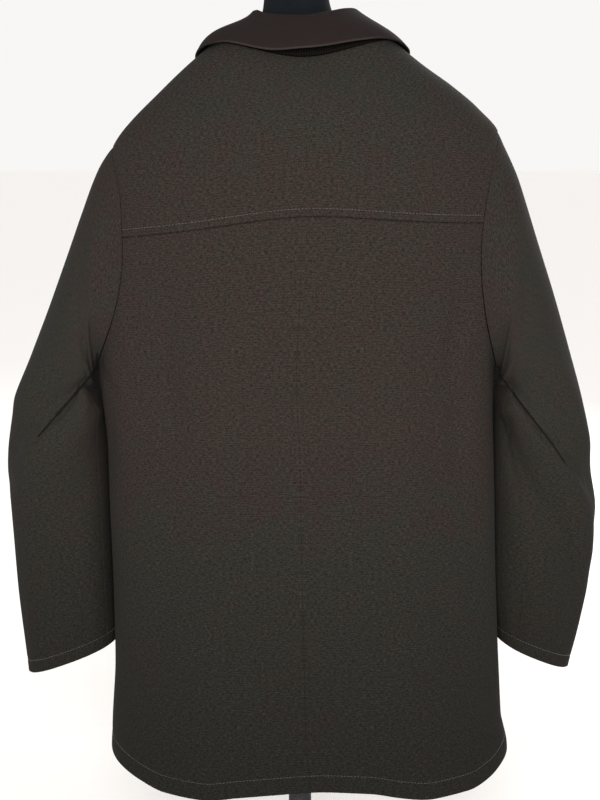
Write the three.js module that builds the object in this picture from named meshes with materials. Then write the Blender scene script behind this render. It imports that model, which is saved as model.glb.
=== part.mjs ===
// A man's wool coat, thigh length, worn by a limbless dress form on a short round stand.
// Units are millimetres. +Z is up, the front of the coat faces -Y, and the wearer's left is +X.
// The origin is the middle of the stand's underside.
//
// Every cloth piece is a wall of real thickness on a surface that is worked out from a table of
// sections. A section is a ring round the body, round a sleeve or round the neck.

import * as THREE from "three";

// ---- driving dimensions ----------------------------------------------------------------------

const CLOTH = 2.6; // thick wool coating cloth
const COLLAR_CLOTH = 2.4;
const SEAM = 0.4; // space between two pieces that are sewn together
const ARMHOLE_SEAM = 0.7; // and the same round each armhole
const LAP = 3.8; // how far the left front stands off the right front it laps over
const LAP_WIDTH = 22; // each front runs this far past the centre front
const REST = 0.7; // space between the form's shoulders and the yoke that rests on them
const FRONT_SPACE = 2.5; // further space under the fronts

const RAISE = 40; // all heights below are measured from this far above the floor
const HEM = 130;
const UNDERARM = 615;
const SHOULDER = 885; // height of the shoulder point, at the sleeve head
const NECK = 1000; // height of the neck seam beside the neck
const ARMHOLE_STEPS = 10; // from the shoulder point down to the underarm
const YOKE_SEAM = 780; // height of the yoke seam at the armhole
const ARMHOLE_BACK = 22; // how far the armhole reaches round the back, degrees
const ARMHOLE_FRONT = 22;
const SLEEVE_LENGTH = 660;
const SLEEVE_BLEND = 60; // the sleeve takes its own shape over this much of its length
const SLEEVE_SQUARE = 0.18; // how far a sleeve's ring is from an oval, towards a square
const SLEEVE_YAW = 12; // the inner side of a sleeve lies this far behind its middle
const BACK_SEAM_STEP = 8; // the sleeve's seams leave the armhole at these steps
const FRONT_SEAM_STEP = 13;
const ROLL_SPACE = 1.3; // between the stand and the fall that turns over it
const COLLAR_REACH = 6; // the collar's ends are this many columns of the front before the shoulder seam
const RIB_COLUMNS = 8; // the ribbed stand's columns for each of those of the yoke
const RIB_HEIGHT = 0.5;
const COLLAR_POINT = 0.9; // the fall's edge ends at this share of its angle round the neck

const BUTTON_RADIUS = 13;
const BUTTON_THICKNESS = 4.5;
const BUTTON_HEIGHTS = [845, 735, 625, 515, 405];

const BASE_RADIUS = 150;
const BASE_THICKNESS = 10;
const HUB_RADIUS = 24;
const HUB_HEIGHT = 34;
const POLE_RADIUS = 14;
const FORM_BOTTOM = 336;
const STAND_GAP = 0.3;

// ---- tables ----------------------------------------------------------------------------------

// Names the columns of a table whose rows are lists.
function table(columns, rows) {
  const names = columns.split(/\s+/);
  return rows.map((row) => Object.fromEntries(names.map((name, i) => [name, row[i]])));
}

// Rings of the coat's body. height is at the side; the back and front of a ring stand higher by
// riseBack and riseFront. half, back and front are its reach to the side, back and front.
// shift moves it sideways, tilt is how far the right shoulder stands above the middle, and square
// is the power of the superellipse.
const BODY = table("height half back front riseBack riseFront shift tilt square", [
  [115, 246, 151, 149, 0, 0, -12, 0, 2.4],
  [150, 244, 151, 149, 0, 0, -11, 0, 2.4],
  [190, 238, 150, 148, 0, 0, -7, 0, 2.4],
  [260, 233, 147, 145, 0, 0, -5.5, 0, 2.45],
  [400, 231, 141, 142, 0, 0, -2, 0, 2.5],
  [520, 233, 134, 139, 0, 0, 0, 0, 2.5],
  [615, 238, 131, 138, 2, 0, 4, 0, 2.5],
  [700, 243, 131, 136, 10, 0, 0, 4, 2.5],
  [780, 244, 128, 127, 20, 2, -3, 8, 2.45],
  [840, 239, 120, 112, 27, -6, -6, 8, 2.4],
  [885, 226, 106, 95, 30, -15, -6, 8, 2.35],
  [912, 205, 97, 85, 23, -24, -4, 8, 2.3],
  [940, 175, 88, 76, 10, -38, -4, 7, 2.25],
  [970, 139, 79, 68, -7, -60, -3, 4, 2.15],
  [1000, 103, 70, 62, -22, -84, -4, 2, 2.05],
  [1030, 69, 61, 56, -37, -108, -4, 1, 2],
]);

// Height of the hem round the body: 0 at the wearer's left, 90 at the back.
const HEM_LINE = table("around height", [
  [-180, 147],
  [-160, 136],
  [-90, 131],
  [-20, 136],
  [0, 147],
  [16, 139],
  [26, 131],
  [35, 124],
  [48, 123],
  [60, 128],
  [85, 133],
  [100, 134],
  [116, 133],
  [126, 128],
  [138, 122],
  [150, 122],
  [158, 128],
  [166, 137],
  [180, 147],
]);

// Soft folds of the body: ridges (depth above 0) and troughs that run up and down. around is the
// angle round the body at the fold's middle, 0 at the wearer's left side and 90 at the centre
// back; lean turns it by so many degrees for each 100 mm of height.
const BODY_FOLDS = table("around lean width low high depth", [
  [35, -1, 9, 500, 790, -6],
  [52, 1, 9, 420, 740, 3],
  [150, 0, 9, 400, 780, -6],
  [134, -1, 9, 300, 740, 3],
  [168, -2, 9, 100, 560, 6],
  [132, 1, 14, 40, 330, 9],
  [50, 0, 14, 40, 320, 7],
  [92, 0, 14, 40, 300, -4],
  [-40, -1, 11, 40, 420, 6],
  [-64, 0, 9, 200, 640, -4],
  [-140, 1, 11, 40, 420, 6],
  [-118, 0, 9, 200, 640, -4],
]);

// Rings of each sleeve. The ring's outer and inner points give its width and tilt, back and
// front its reach from them, and forward moves it to the front.
const SLEEVE_COLUMNS = "along outX outZ inX inZ back front forward";
const LEFT_SLEEVE = table(SLEEVE_COLUMNS, [
  [0, 216, 877, 242, 615, 80, 82, 0],
  [45, 237, 850, 244, 611, 81, 83, 5],
  [95, 258, 802, 245, 604, 82, 81, 11],
  [150, 280, 746, 244.5, 594, 83, 79, 17],
  [210, 303, 688, 242.5, 581, 82, 77, 23],
  [270, 327, 629, 239, 559, 79, 75, 28],
  [330, 347, 574, 235.5, 525, 74, 73, 32],
  [400, 362, 504, 233, 479, 69, 69, 36],
  [470, 359, 434, 231.5, 432, 64, 64, 37],
  [560, 355, 340, 230.5, 352, 57, 58, 38],
  [660, 344, 222, 229, 270, 51, 52, 39],
]);
const RIGHT_SLEEVE = table(SLEEVE_COLUMNS, [
  [0, 236, 893, 234, 615, 80, 82, 0],
  [45, 254, 851, 238, 611, 81, 83, 5],
  [95, 273, 799, 237, 604, 82, 81, 11],
  [150, 292, 744, 236.5, 594, 83, 79, 19],
  [210, 311, 687, 236, 581, 82, 77, 25],
  [270, 329, 631, 234.8, 559, 79, 75, 30],
  [330, 345, 573, 234.5, 525, 74, 73, 32],
  [400, 359, 500, 233.5, 479, 69, 69, 36],
  [470, 368, 428, 234, 430, 64, 64, 37],
  [560, 362, 336, 235, 350, 57, 58, 38],
  [660, 340, 229, 243, 274, 51, 52, 39],
]);

// Folds of each sleeve, from one point to another. along is the distance down the sleeve and
// around the angle: 0 on the outer side, 90 at the back, 180 at the inner side.
const FOLD_COLUMNS = "along0 around0 along1 around1 width depth";
const LEFT_SLEEVE_FOLDS = table(FOLD_COLUMNS, [
  [180, 150, 385, 36, 20, -9],
  [150, 115, 330, 36, 26, 6],
  [265, 150, 420, 55, 22, 5],
  [420, 110, 600, 80, 24, -4],
  [330, -60, 470, -110, 28, -5],
]);
const RIGHT_SLEEVE_FOLDS = table(FOLD_COLUMNS, [
  [180, 150, 425, 30, 20, -8],
  [150, 118, 380, 34, 26, 5],
  [300, 145, 590, 45, 24, -7],
  [270, 125, 520, 40, 22, 4],
  [330, -60, 470, -110, 28, -5],
]);

// Sections of the collar. around is the angle from the centre back, to the wearer's left above 0.
// The roll line is the top fold, at rollRadius and rollHeight, and the stand below it is hollow
// by sag. The fall's edge lies over the body's ring at edgeRing, lift off it. Between the roll
// and the edge the fall is fuller than a straight line by nearFull, then by farFull.
const COLLAR = table("around rollRadius rollHeight sag nearFull farFull edgeRing lift", [
  [-157, 61, 940, 0, 5, 9, 926, 10],
  [-137, 61, 972, 1, 4, 10, 944, 9],
  [-115, 63, 1010, 3, 2, 8, 968, 7.5],
  [-90, 62, 1030, 5, -2, 7, 986, 5],
  [-75, 60, 1031, 5, -1, 5, 994, 7],
  [-60, 57, 1030, 4, 1, 5, 999, 9],
  [-30, 53, 1025, 1, 3, 5, 1001, 16],
  [0, 52, 1021, 0, 3, 4, 999, 20],
  [30, 53, 1022, 1, 2, 5, 993, 15],
  [60, 56, 1026, 4, -1, 8, 996, 9],
  [75, 57, 1029, 6, -4, 14, 991, 7.5],
  [90, 58, 1029, 7, -6, 19, 985, 5],
  [115, 60, 1009, 4, -2, 16, 968, 7.5],
  [137, 61, 972, 1, 7, 16, 944, 12],
  [157, 61, 942, 0, 8, 14, 926, 13],
]);

// Rings of the dress form, as for the body.
const FORM = table("height half back front riseBack riseFront shift square", [
  [336, 140, 88, 86, 0, 0, 0, 2.1],
  [342, 156, 102, 98, 0, 0, 0, 2.1],
  [360, 168, 112, 106, 0, 0, 0, 2.2],
  [430, 172, 116, 108, 0, 0, 0, 2.2],
  [560, 146, 92, 100, 0, 0, 0, 2.2],
  [690, 160, 108, 114, 4, 0, 0, 2.25],
  [770, 172, 110, 112, 14, 0, -3, 2.3],
  [830, 184, 104, 98, 24, -4, -5, 2.35],
  [885, 196, 92, 80, 28, -14, -5, 2.35],
  [920, 190, 84, 70, 18, -26, -4, 2.3],
  [975, 124, 68, 54, -11, -62, -3, 2.15],
  [992, 92, 56, 44, -15, -58, -2, 2.1],
  [1006, 62, 48, 41, -12, -42, 0, 2.05],
  [1018, 47, 44, 40, -8, -25, 2, 2],
  [1031, 41, 42, 40, -3, -11, 3, 2],
  [1046, 38, 41, 40, 0, 0, 4, 2],
  [1074, 36, 39, 39, 0, 0, 4, 2],
  [1080, 33, 36, 36, 0, 0, 4, 2],
  [1082, 28, 31, 31, 0, 0, 4, 2],
]);
// The form's back and shoulders follow the inside of the cloth between these ring heights.
const SEAT = { from: 875, full: 903, last: 966, to: 984 };

// ---- small helpers ---------------------------------------------------------------------------

const radians = (degrees) => (degrees * Math.PI) / 180;
const degrees = (angle) => (angle * 180) / Math.PI;
const mix = (a, b, share) => a + (b - a) * share;
const clamp01 = (x) => Math.min(1, Math.max(0, x));
const smooth = (x) => clamp01(x) ** 2 * (3 - 2 * clamp01(x));
const steps = (from, to, count) =>
  Array.from({ length: count + 1 }, (_, i) => mix(from, to, i / count));

// A smooth curve through one column of a table, which never swings past its values.
function through(rows, key, column) {
  const x = rows.map((row) => row[key]);
  const y = rows.map((row) => row[column]);
  const slope = x.slice(1).map((_, i) => (y[i + 1] - y[i]) / (x[i + 1] - x[i]));
  const tangent = x.map((_, i) => {
    if (i === 0) return slope[0];
    if (i === x.length - 1) return slope[i - 1];
    if (slope[i - 1] * slope[i] <= 0) return 0;
    return (2 * slope[i - 1] * slope[i]) / (slope[i - 1] + slope[i]);
  });
  return (at) => {
    const q = Math.min(x[x.length - 1], Math.max(x[0], at));
    let i = 0;
    while (i < x.length - 2 && q > x[i + 1]) i += 1;
    const span = x[i + 1] - x[i];
    const s = (q - x[i]) / span;
    return (
      (1 + 2 * s) * (1 - s) ** 2 * y[i] +
      s * (1 - s) ** 2 * span * tangent[i] +
      s * s * (3 - 2 * s) * y[i + 1] +
      s * s * (s - 1) * span * tangent[i + 1]
    );
  };
}

// All columns of a table as smooth curves, read with one call.
function curves(rows, key) {
  const names = Object.keys(rows[0]).filter((name) => name !== key);
  const made = names.map((name) => [name, through(rows, key, name)]);
  return (at) => Object.fromEntries(made.map(([name, curve]) => [name, curve(at)]));
}

// The outward normal of a surface point(u, v), from two small steps.
function normalOf(point, turn) {
  const step = 0.25;
  return (u, v) => {
    const across = point(u + step, v).sub(point(u - step, v));
    const up = point(u, v + step).sub(point(u, v - step));
    return across.cross(up).normalize().multiplyScalar(turn);
  };
}

// ---- walls -----------------------------------------------------------------------------------

// A closed wall: outer[i][j] are points of the cloth's face, inner[i][j] those of its back.
function closedWall(outer, inner) {
  const rows = outer.length;
  const columns = outer[0].length;
  const vertices = [...outer.flat(), ...inner.flat()];
  const front = (i, j) => i * columns + j;
  const back = (i, j) => rows * columns + i * columns + j;
  const triangles = [];
  const quad = (a, b, c, d) => triangles.push([a, b, c], [a, c, d]);
  for (let i = 0; i < rows - 1; i += 1) {
    for (let j = 0; j < columns - 1; j += 1) {
      quad(front(i, j), front(i, j + 1), front(i + 1, j + 1), front(i + 1, j));
      quad(back(i, j), back(i + 1, j), back(i + 1, j + 1), back(i, j + 1));
    }
  }
  for (let j = 0; j < columns - 1; j += 1) {
    const last = rows - 1;
    quad(front(0, j), back(0, j), back(0, j + 1), front(0, j + 1));
    quad(front(last, j), front(last, j + 1), back(last, j + 1), back(last, j));
  }
  for (let i = 0; i < rows - 1; i += 1) {
    const last = columns - 1;
    quad(front(i, 0), front(i + 1, 0), back(i + 1, 0), back(i, 0));
    quad(front(i, last), back(i, last), back(i + 1, last), front(i + 1, last));
  }
  return solid(vertices, triangles);
}

// An indexed geometry whose faces point out: it is turned if its volume comes out negative.
function solid(vertices, triangles) {
  const volume = triangles.reduce(
    (sum, [a, b, c]) =>
      sum + vertices[a].dot(new THREE.Vector3().crossVectors(vertices[b], vertices[c])),
    0,
  );
  const facing = volume < 0 ? triangles.map(([a, b, c]) => [a, c, b]) : triangles;
  const geometry = new THREE.BufferGeometry();
  geometry.setAttribute(
    "position",
    new THREE.Float32BufferAttribute(vertices.flatMap((p) => p.toArray()), 3),
  );
  geometry.setIndex(facing.flat());
  geometry.computeVertexNormals();
  return geometry;
}

// A cloth panel on a surface, over a grid of [u, v] places, with its wall on the inner side.
// relief(v, j) is how far the outer point of column j is raised, and the inner face stays plain.
function panel(surface, grid, thickness, relief = () => 0) {
  const move = (u, v, off) => surface.point(u, v).addScaledVector(surface.normal(u, v), off);
  const outer = grid.map((row) => row.map(([u, v], j) => move(u, v, relief(v, j))));
  const inner = grid.map((row) => row.map(([u, v]) => move(u, v, -thickness)));
  return closedWall(outer, inner);
}

// ---- the coat's body -------------------------------------------------------------------------

// A point on a ring: a superellipse in the polar angle, which rises towards its back or front.
function ringPoint(ring, angle, height) {
  const c = Math.cos(radians(angle));
  const s = Math.sin(radians(angle));
  const depth = s > 0 ? ring.back : ring.front;
  const rise = s > 0 ? ring.riseBack : ring.riseFront;
  const reach =
    (Math.abs(c / ring.half) ** ring.square + Math.abs(s / depth) ** ring.square) **
    (-1 / ring.square);
  const x = ring.shift + reach * c;
  const lean = ((ring.tilt ?? 0) * x) / 200;
  return new THREE.Vector3(x, reach * s, height + rise * s * s - lean);
}

// Degrees from one angle to another, the short way round.
const turnBetween = (a, b) => ((((a - b + 180) % 360) + 360) % 360) - 180;

// How far the folds lift the cloth at an angle and height.
function bodyFold(angle, height) {
  return BODY_FOLDS.reduce((sum, fold) => {
    const middle = (fold.low + fold.high) / 2;
    const line = fold.around + (fold.lean * (height - middle)) / 100;
    const off = turnBetween(angle, line) / fold.width;
    const end = (fold.high - fold.low) / 3;
    const along = smooth((height - fold.low) / end) * smooth((fold.high - height) / end);
    return sum + fold.depth * along * Math.exp(-off * off);
  }, 0);
}

const bodyRing = curves(BODY, "height");
const plainBodyPoint = (angle, height) => ringPoint(bodyRing(height), angle, height);
const plainBodyNormal = normalOf(plainBodyPoint, 1);
const bodyPoint = (angle, height) =>
  plainBodyPoint(angle, height).addScaledVector(
    plainBodyNormal(angle, height),
    bodyFold(angle, height),
  );
const body = { point: bodyPoint, normal: normalOf(bodyPoint, 1) };

// The left front stands off the body near the centre front, where it laps over the right one.
const lapStart = -42;
const lapFull = -74;
const lappedPoint = (angle, height) => {
  const off = LAP * smooth((lapStart - angle) / (lapStart - lapFull));
  return bodyPoint(angle, height).addScaledVector(plainBodyNormal(angle, height), off);
};
const lapped = { point: lappedPoint, normal: normalOf(lappedPoint, 1) };

const ARMHOLE_MIDDLE = (SHOULDER + UNDERARM) / 2;
const ARMHOLE_HALF = (SHOULDER - UNDERARM) / 2;

const armholeCentre = (side) => bodyPoint(side > 0 ? 0 : 180, ARMHOLE_MIDDLE);

// The armhole is an ellipse in angle and height. step counts down the back from the shoulder
// point and on up the front; out is how far the place lies outside the seam.
function armhole(step, out) {
  const turn = (Math.PI * step) / ARMHOLE_STEPS;
  const wide = Math.sin(turn) > 0 ? ARMHOLE_BACK : ARMHOLE_FRONT;
  const height = ARMHOLE_MIDDLE + (ARMHOLE_HALF + out) * Math.cos(turn);
  const angle = (wide + degrees(out / bodyRing(height).half)) * Math.sin(turn);
  return { angle, height };
}

// The angle at which a body panel starts, beside the side seam, armhole or shoulder seam. It
// runs straight between the armhole's steps, as the sleeve does.
function sideEdge(height, wide) {
  const gap = degrees(SEAM / 2 / bodyRing(height).half);
  const line = steps(0, ARMHOLE_STEPS, ARMHOLE_STEPS).map((step) => {
    const place = armhole(step, ARMHOLE_SEAM);
    return { height: place.height, angle: (place.angle * wide) / ARMHOLE_BACK };
  });
  const below = line.findIndex((place) => place.height <= height);
  if (below < 1) return gap;
  const [low, high] = [line[below], line[below - 1]];
  const share = (height - low.height) / (high.height - low.height);
  return Math.max(gap, mix(low.angle, high.angle, share));
}

// The angle, from the side, of the place that lies x beside the middle of a ring.
function angleAt(x, height, depthName) {
  const ring = bodyRing(height);
  const share = 1 - Math.abs((x - ring.shift) / ring.half) ** ring.square;
  return degrees(Math.atan2(ring[depthName] * share ** (1 / ring.square), x - ring.shift));
}

const armholeHeights = steps(0, ARMHOLE_STEPS, ARMHOLE_STEPS).map(
  (step) => armhole(step, ARMHOLE_SEAM).height,
);
const hemAt = through(HEM_LINE, "around", "height");
const skirtHeights = [HEM, 162, 194, 230, 270, 314, 360, 406, 452, 496, 538, 576, UNDERARM - ARMHOLE_SEAM];
const backHeights = [
  ...skirtHeights,
  ...armholeHeights.filter((height) => height < YOKE_SEAM).slice(0, -1).reverse(),
  YOKE_SEAM - SEAM / 2,
];
const shoulderHeights = [904, 924, 944, 963, 982, NECK];
const yokeHeights = [
  YOKE_SEAM + SEAM / 2,
  ...armholeHeights.filter((height) => height > YOKE_SEAM).reverse(),
  ...shoulderHeights,
];
const frontHeights = [
  ...skirtHeights,
  ...armholeHeights.slice(0, -1).reverse(),
  ...shoulderHeights,
];

const BACK_COLUMNS = 11;
const FRONT_COLUMNS = 10;

// A place on the body. The lowest row follows the hem, and the next two move with it.
function bodyPlace(angle, height) {
  const wrapped = turnBetween(angle, 0);
  const share = [1, 0.5, 0.2][skirtHeights.indexOf(height)] ?? 0;
  return [angle, height + share * (hemAt(wrapped) - HEM)];
}

// Half of the back, below the yoke. side is 1 for the wearer's left and -1 for the right.
function backPanel(side) {
  const gap = (height) => degrees(SEAM / 2 / bodyRing(height).back);
  const grid = backHeights.map((height) => {
    const edge = sideEdge(height, ARMHOLE_BACK);
    return steps(edge, 90 - gap(height), BACK_COLUMNS).map((angle) =>
      bodyPlace(side > 0 ? angle : 180 - angle, height),
    );
  });
  return panel(body, grid, CLOTH);
}

// The yoke runs across the whole back, from the yoke seam to the shoulder seams and the neck.
function yokePanel() {
  const grid = yokeHeights.map((height) => {
    const edge = sideEdge(height, ARMHOLE_BACK);
    return steps(edge, 180 - edge, 2 * BACK_COLUMNS).map((angle) => [angle, height]);
  });
  return panel(body, grid, CLOTH);
}

// The angles of a front's columns, from the side seam, armhole and shoulder seam to the edge
// past the centre front.
function frontAngles(side, height) {
  const edge = sideEdge(height, ARMHOLE_FRONT);
  const centre = angleAt(-side * LAP_WIDTH, height, "front");
  return steps(side > 0 ? -edge : edge - 180, -centre, FRONT_COLUMNS);
}

function frontPanel(side) {
  const grid = frontHeights.map((height) =>
    frontAngles(side, height).map((angle) => bodyPlace(angle, height)),
  );
  return panel(side > 0 ? lapped : body, grid, CLOTH);
}

// ---- sleeves ---------------------------------------------------------------------------------

// How far the folds lift a sleeve: each is a line from one place to another, with soft ends.
function sleeveFold(folds, around, along) {
  return folds.reduce((sum, fold) => {
    const dx = fold.along1 - fold.along0;
    const dy = turnBetween(fold.around1, fold.around0);
    const px = along - fold.along0;
    const py = turnBetween(around, fold.around0);
    const share = (px * dx + py * dy) / (dx * dx + dy * dy);
    const t = clamp01(share);
    const off = Math.hypot(px - t * dx, py - t * dy) / fold.width;
    return sum + fold.depth * Math.exp(-off * off);
  }, 0);
}

// A sleeve's surface. It starts on the armhole and turns into the table's rings.
function sleeveSurface(side, rows, folds) {
  const ringAt = curves(rows, "along");
  const ring = (around, along) => {
    const row = ringAt(along);
    const own = smooth(along / (2 * SLEEVE_BLEND));
    const squared = (x) => Math.sign(x) * Math.abs(x) ** (1 - SLEEVE_SQUARE * own);
    const c = squared(Math.cos(radians(around)));
    const s = squared(Math.sin(radians(around)));
    const x = (row.outX + row.inX) / 2 + ((row.outX - row.inX) / 2) * c;
    const z = (row.outZ + row.inZ) / 2 + ((row.outZ - row.inZ) / 2) * c;
    const y = (s > 0 ? row.back : row.front) * s - row.forward - SLEEVE_YAW * own * c;
    return new THREE.Vector3(side * x, y, z);
  };
  const seamPlace = (around) => {
    const { angle, height } = armhole((around * ARMHOLE_STEPS) / 180, 0);
    return [side > 0 ? angle : 180 - angle, height];
  };
  const plain = (around, along) => {
    const off = bodyPoint(...seamPlace(around)).sub(ring(around, 0));
    return ring(around, along).addScaledVector(off, 1 - smooth(along / SLEEVE_BLEND));
  };
  const plainNormal = normalOf(plain, -side);
  const fade = (along) => smooth((along - 20) / 90);
  const point = (around, along) =>
    plain(around, along).addScaledVector(
      plainNormal(around, along),
      sleeveFold(folds, around, along) * fade(along),
    );
  const free = normalOf(point, -side);
  // On the armhole the wall never leans over the body panel beside it.
  const normal = (around, along) => {
    const own = free(around, along);
    if (along > 0) return own;
    const facing = body.normal(...seamPlace(around));
    const away = point(around, 0).sub(point(around + 1, 0)).cross(facing).normalize();
    if (away.dot(bodyPoint(...seamPlace(around)).sub(armholeCentre(side))) < 0) away.negate();
    return own.addScaledVector(away, Math.max(0, -own.dot(away))).normalize();
  };
  return { point, normal };
}

const sleeveRows = [
  0, 40, 68, 96, 126, 156, 186, 216, 246, 276, 306, 338, 372, 406, 442, 480, 520, 564,
  610, SLEEVE_LENGTH,
];

// A strip of a sleeve between two steps round it, such as the upper or the under sleeve.
function sleevePanel(surface, fromStep, toStep) {
  const perStep = 180 / ARMHOLE_STEPS;
  // Half the seam's space as an angle, square to the line of the seam. It is wider near the
  // armhole, where the seam bends away from it.
  const gapAt = (around, along) => {
    const across = surface.point(around + 0.5, along).sub(surface.point(around - 0.5, along));
    const down = surface.point(around, along + 0.5).sub(surface.point(around, along - 0.5));
    const half = SEAM * mix(1.5, 0.5, smooth((along - 30) / 60));
    return half / across.cross(down.normalize()).length();
  };
  const grid = sleeveRows.map((along) => {
    const from = fromStep * perStep;
    const to = toStep * perStep;
    return steps(from + gapAt(from, along), to - gapAt(to, along), toStep - fromStep).map(
      (angle) => [angle, along],
    );
  });
  return panel(surface, grid, CLOTH);
}

const leftSleeve = sleeveSurface(1, LEFT_SLEEVE, LEFT_SLEEVE_FOLDS);
const rightSleeve = sleeveSurface(-1, RIGHT_SLEEVE, RIGHT_SLEEVE_FOLDS);
const FULL_TURN_STEPS = 2 * ARMHOLE_STEPS;

// ---- collar ----------------------------------------------------------------------------------

const collarSection = curves(COLLAR, "around");
const neckShift = bodyRing(NECK).shift;
const outward = (around) =>
  new THREE.Vector3(Math.sin(radians(around)), Math.cos(radians(around)), 0);
const neckSurface = (around) => (around > 90 ? lapped : body);

// The collar's columns stand on those of the yoke and the fronts.
const frontNeck = (side) =>
  frontAngles(side, NECK)
    .slice(1, COLLAR_REACH + 1)
    .map((angle) => side * Math.abs(turnBetween(90 - angle, 0)));
const yokeNeck = steps(-90, 90, 2 * BACK_COLUMNS);
const collarAround = [...frontNeck(-1).reverse(), ...yokeNeck, ...frontNeck(1)];
const NECK_GAP = 1; // space between the neck seam and the stand's lower edge

// The roll line, where the collar folds over.
function rollPoint(around) {
  const section = collarSection(around);
  return outward(around)
    .multiplyScalar(section.rollRadius)
    .add(new THREE.Vector3(neckShift, 0, section.rollHeight));
}

// The direction of a line point(around), such as the roll line or the neck seam.
const along = (point, around) => point(around + 0.5).sub(point(around - 0.5)).normalize();

// The stand rises from the neck seam to the roll line.
const neckPoint = (around) => neckSurface(around).point(90 - around, NECK);
const standPoint = (around, share) => {
  const seam = neckPoint(around);
  const rise = rollPoint(around).sub(seam);
  const clear = rise.clone().cross(along(neckPoint, around)).length();
  const hollow = outward(around).cross(new THREE.Vector3(0, 0, 1)).cross(rise).normalize();
  const depth = 4 * share * (1 - share) * collarSection(around).sag;
  return seam
    .addScaledVector(rise, mix(NECK_GAP / clear, 1, share))
    .addScaledVector(hollow, -Math.sign(hollow.dot(outward(around))) * depth);
};

// The fall turns over the stand's top in an arc and comes down to its edge.
const ARC_SHARE = 0.15;
const ARC_RADIUS = 1.5 * COLLAR_CLOTH + ROLL_SPACE;
const standNormal = normalOf((u, v) => standPoint(u, v / 100), -1);
const fallPoint = (around, share) => {
  const section = collarSection(around);
  const edgeAround = around * mix(1, COLLAR_POINT, smooth((Math.abs(around) - 80) / 70));
  const surface = neckSurface(around);
  const edge = surface
    .point(90 - edgeAround, section.edgeRing)
    .addScaledVector(surface.normal(90 - edgeAround, section.edgeRing), section.lift);
  const top = standNormal(around, 98).multiplyScalar(-COLLAR_CLOTH / 2).add(rollPoint(around));
  const tangent = along(rollPoint, around);
  const up = new THREE.Vector3(0, 0, 1).addScaledVector(tangent, -tangent.z).normalize();
  const across = up.clone().cross(tangent);
  if (across.dot(outward(around)) < 0) across.negate();
  const drop = edge.clone().sub(top);
  const steepest = Math.atan2(-drop.dot(up), drop.dot(across));
  const turn = steepest * Math.min(1, share / ARC_SHARE);
  const facing = across.multiplyScalar(Math.sin(turn)).addScaledVector(up, Math.cos(turn));
  const start = top.addScaledVector(facing, ARC_RADIUS);
  const t = (share - ARC_SHARE) / (1 - ARC_SHARE);
  if (t <= 0) return start;
  const full = 3 * t * (1 - t) * ((1 - t) * section.nearFull + t * section.farFull);
  return start.lerp(edge, t).addScaledVector(facing, full);
};

// The ribbed stand's columns: every other one is the top of a rib, which ends under the roll.
const ribAround = collarAround
  .slice(1)
  .flatMap((around, i) => steps(collarAround[i], around, RIB_COLUMNS).slice(i === 0 ? 0 : 1));
const ribRelief = (share, j) => (j % 2 === 0 || share === 100 ? 0 : RIB_HEIGHT);

// A collar wall on point(around, share): share runs from one edge to the other.
function collarPanel(point, shares, turn, columns, relief, seamNormal) {
  const scaled = (u, v) => point(u, v / 100);
  const free = normalOf(scaled, turn);
  const normal = (u, v) => (v === 0 && seamNormal ? seamNormal(u) : free(u, v));
  const surface = { point: scaled, normal };
  const grid = shares.map((share) => columns.map((angle) => [angle, share * 100]));
  return panel(surface, grid, COLLAR_CLOTH, relief);
}

// ---- buttons ---------------------------------------------------------------------------------

// A round button with a raised rim, its back just off the cloth of the left front.
function button(height) {
  const profile = [
    [0, 0],
    [BUTTON_RADIUS - 2, 0],
    [BUTTON_RADIUS, 1.6],
    [BUTTON_RADIUS, 3.2],
    [BUTTON_RADIUS - 1.4, BUTTON_THICKNESS],
    [BUTTON_RADIUS - 4, BUTTON_THICKNESS - 1.3],
    [0, BUTTON_THICKNESS - 1.5],
  ].map(([x, y]) => new THREE.Vector2(x, y));
  const angle = -angleAt(0, height, "front");
  const place = lapped.point(angle, height);
  const facing = lapped.normal(angle, height);
  const turn = new THREE.Quaternion().setFromUnitVectors(new THREE.Vector3(0, 1, 0), facing);
  place.addScaledVector(facing, 0.4);
  return { geometry: new THREE.LatheGeometry(profile, 16), place, turn };
}

// ---- the dress form and its stand ------------------------------------------------------------

const formRing = curves(FORM, "height");

// The torso and neck. Its back and shoulders lie just inside the yoke, so that the coat rests on
// them, with their columns and rings on those of the yoke.
function formPoint(angle, height) {
  const own = ringPoint(formRing(height), angle, height);
  const rising = smooth((height - SEAT.from) / (SEAT.full - SEAT.from));
  const falling = smooth((SEAT.to - height) / (SEAT.to - SEAT.last));
  const share = rising * falling;
  if (share === 0) return own;
  const space = REST + FRONT_SPACE * smooth(-Math.sin(radians(angle)) * 7);
  const inside = plainBodyPoint(angle, height).addScaledVector(
    plainBodyNormal(angle, height),
    -(CLOTH + space),
  );
  return own.lerp(inside, share);
}

const formHeights = [
  FORM_BOTTOM, 342, 360, 400, 450, 505, 560, 615, 670, 725, 775, 820, 855,
  ...[armholeHeights[0], ...shoulderHeights.slice(0, 5)],
  994, 1006, 1018, 1031, 1046, 1074, 1080, 1082,
];
const FORM_COLUMNS = 4 * BACK_COLUMNS;

function torso() {
  const rings = formHeights.map((height) =>
    steps(0, 360, FORM_COLUMNS)
      .slice(0, -1)
      .map((angle) => formPoint(angle, height)),
  );
  const vertices = rings.flat();
  const at = (i, j) => i * FORM_COLUMNS + (j % FORM_COLUMNS);
  const triangles = [];
  for (let i = 0; i < rings.length - 1; i += 1) {
    for (let j = 0; j < FORM_COLUMNS; j += 1) {
      triangles.push([at(i, j), at(i, j + 1), at(i + 1, j + 1)]);
      triangles.push([at(i, j), at(i + 1, j + 1), at(i + 1, j)]);
    }
  }
  const top = rings.length - 1;
  for (let j = 1; j < FORM_COLUMNS - 1; j += 1) {
    triangles.push([at(0, 0), at(0, j + 1), at(0, j)]);
    triangles.push([at(top, 0), at(top, j), at(top, j + 1)]);
  }
  return solid(vertices, triangles);
}

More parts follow.
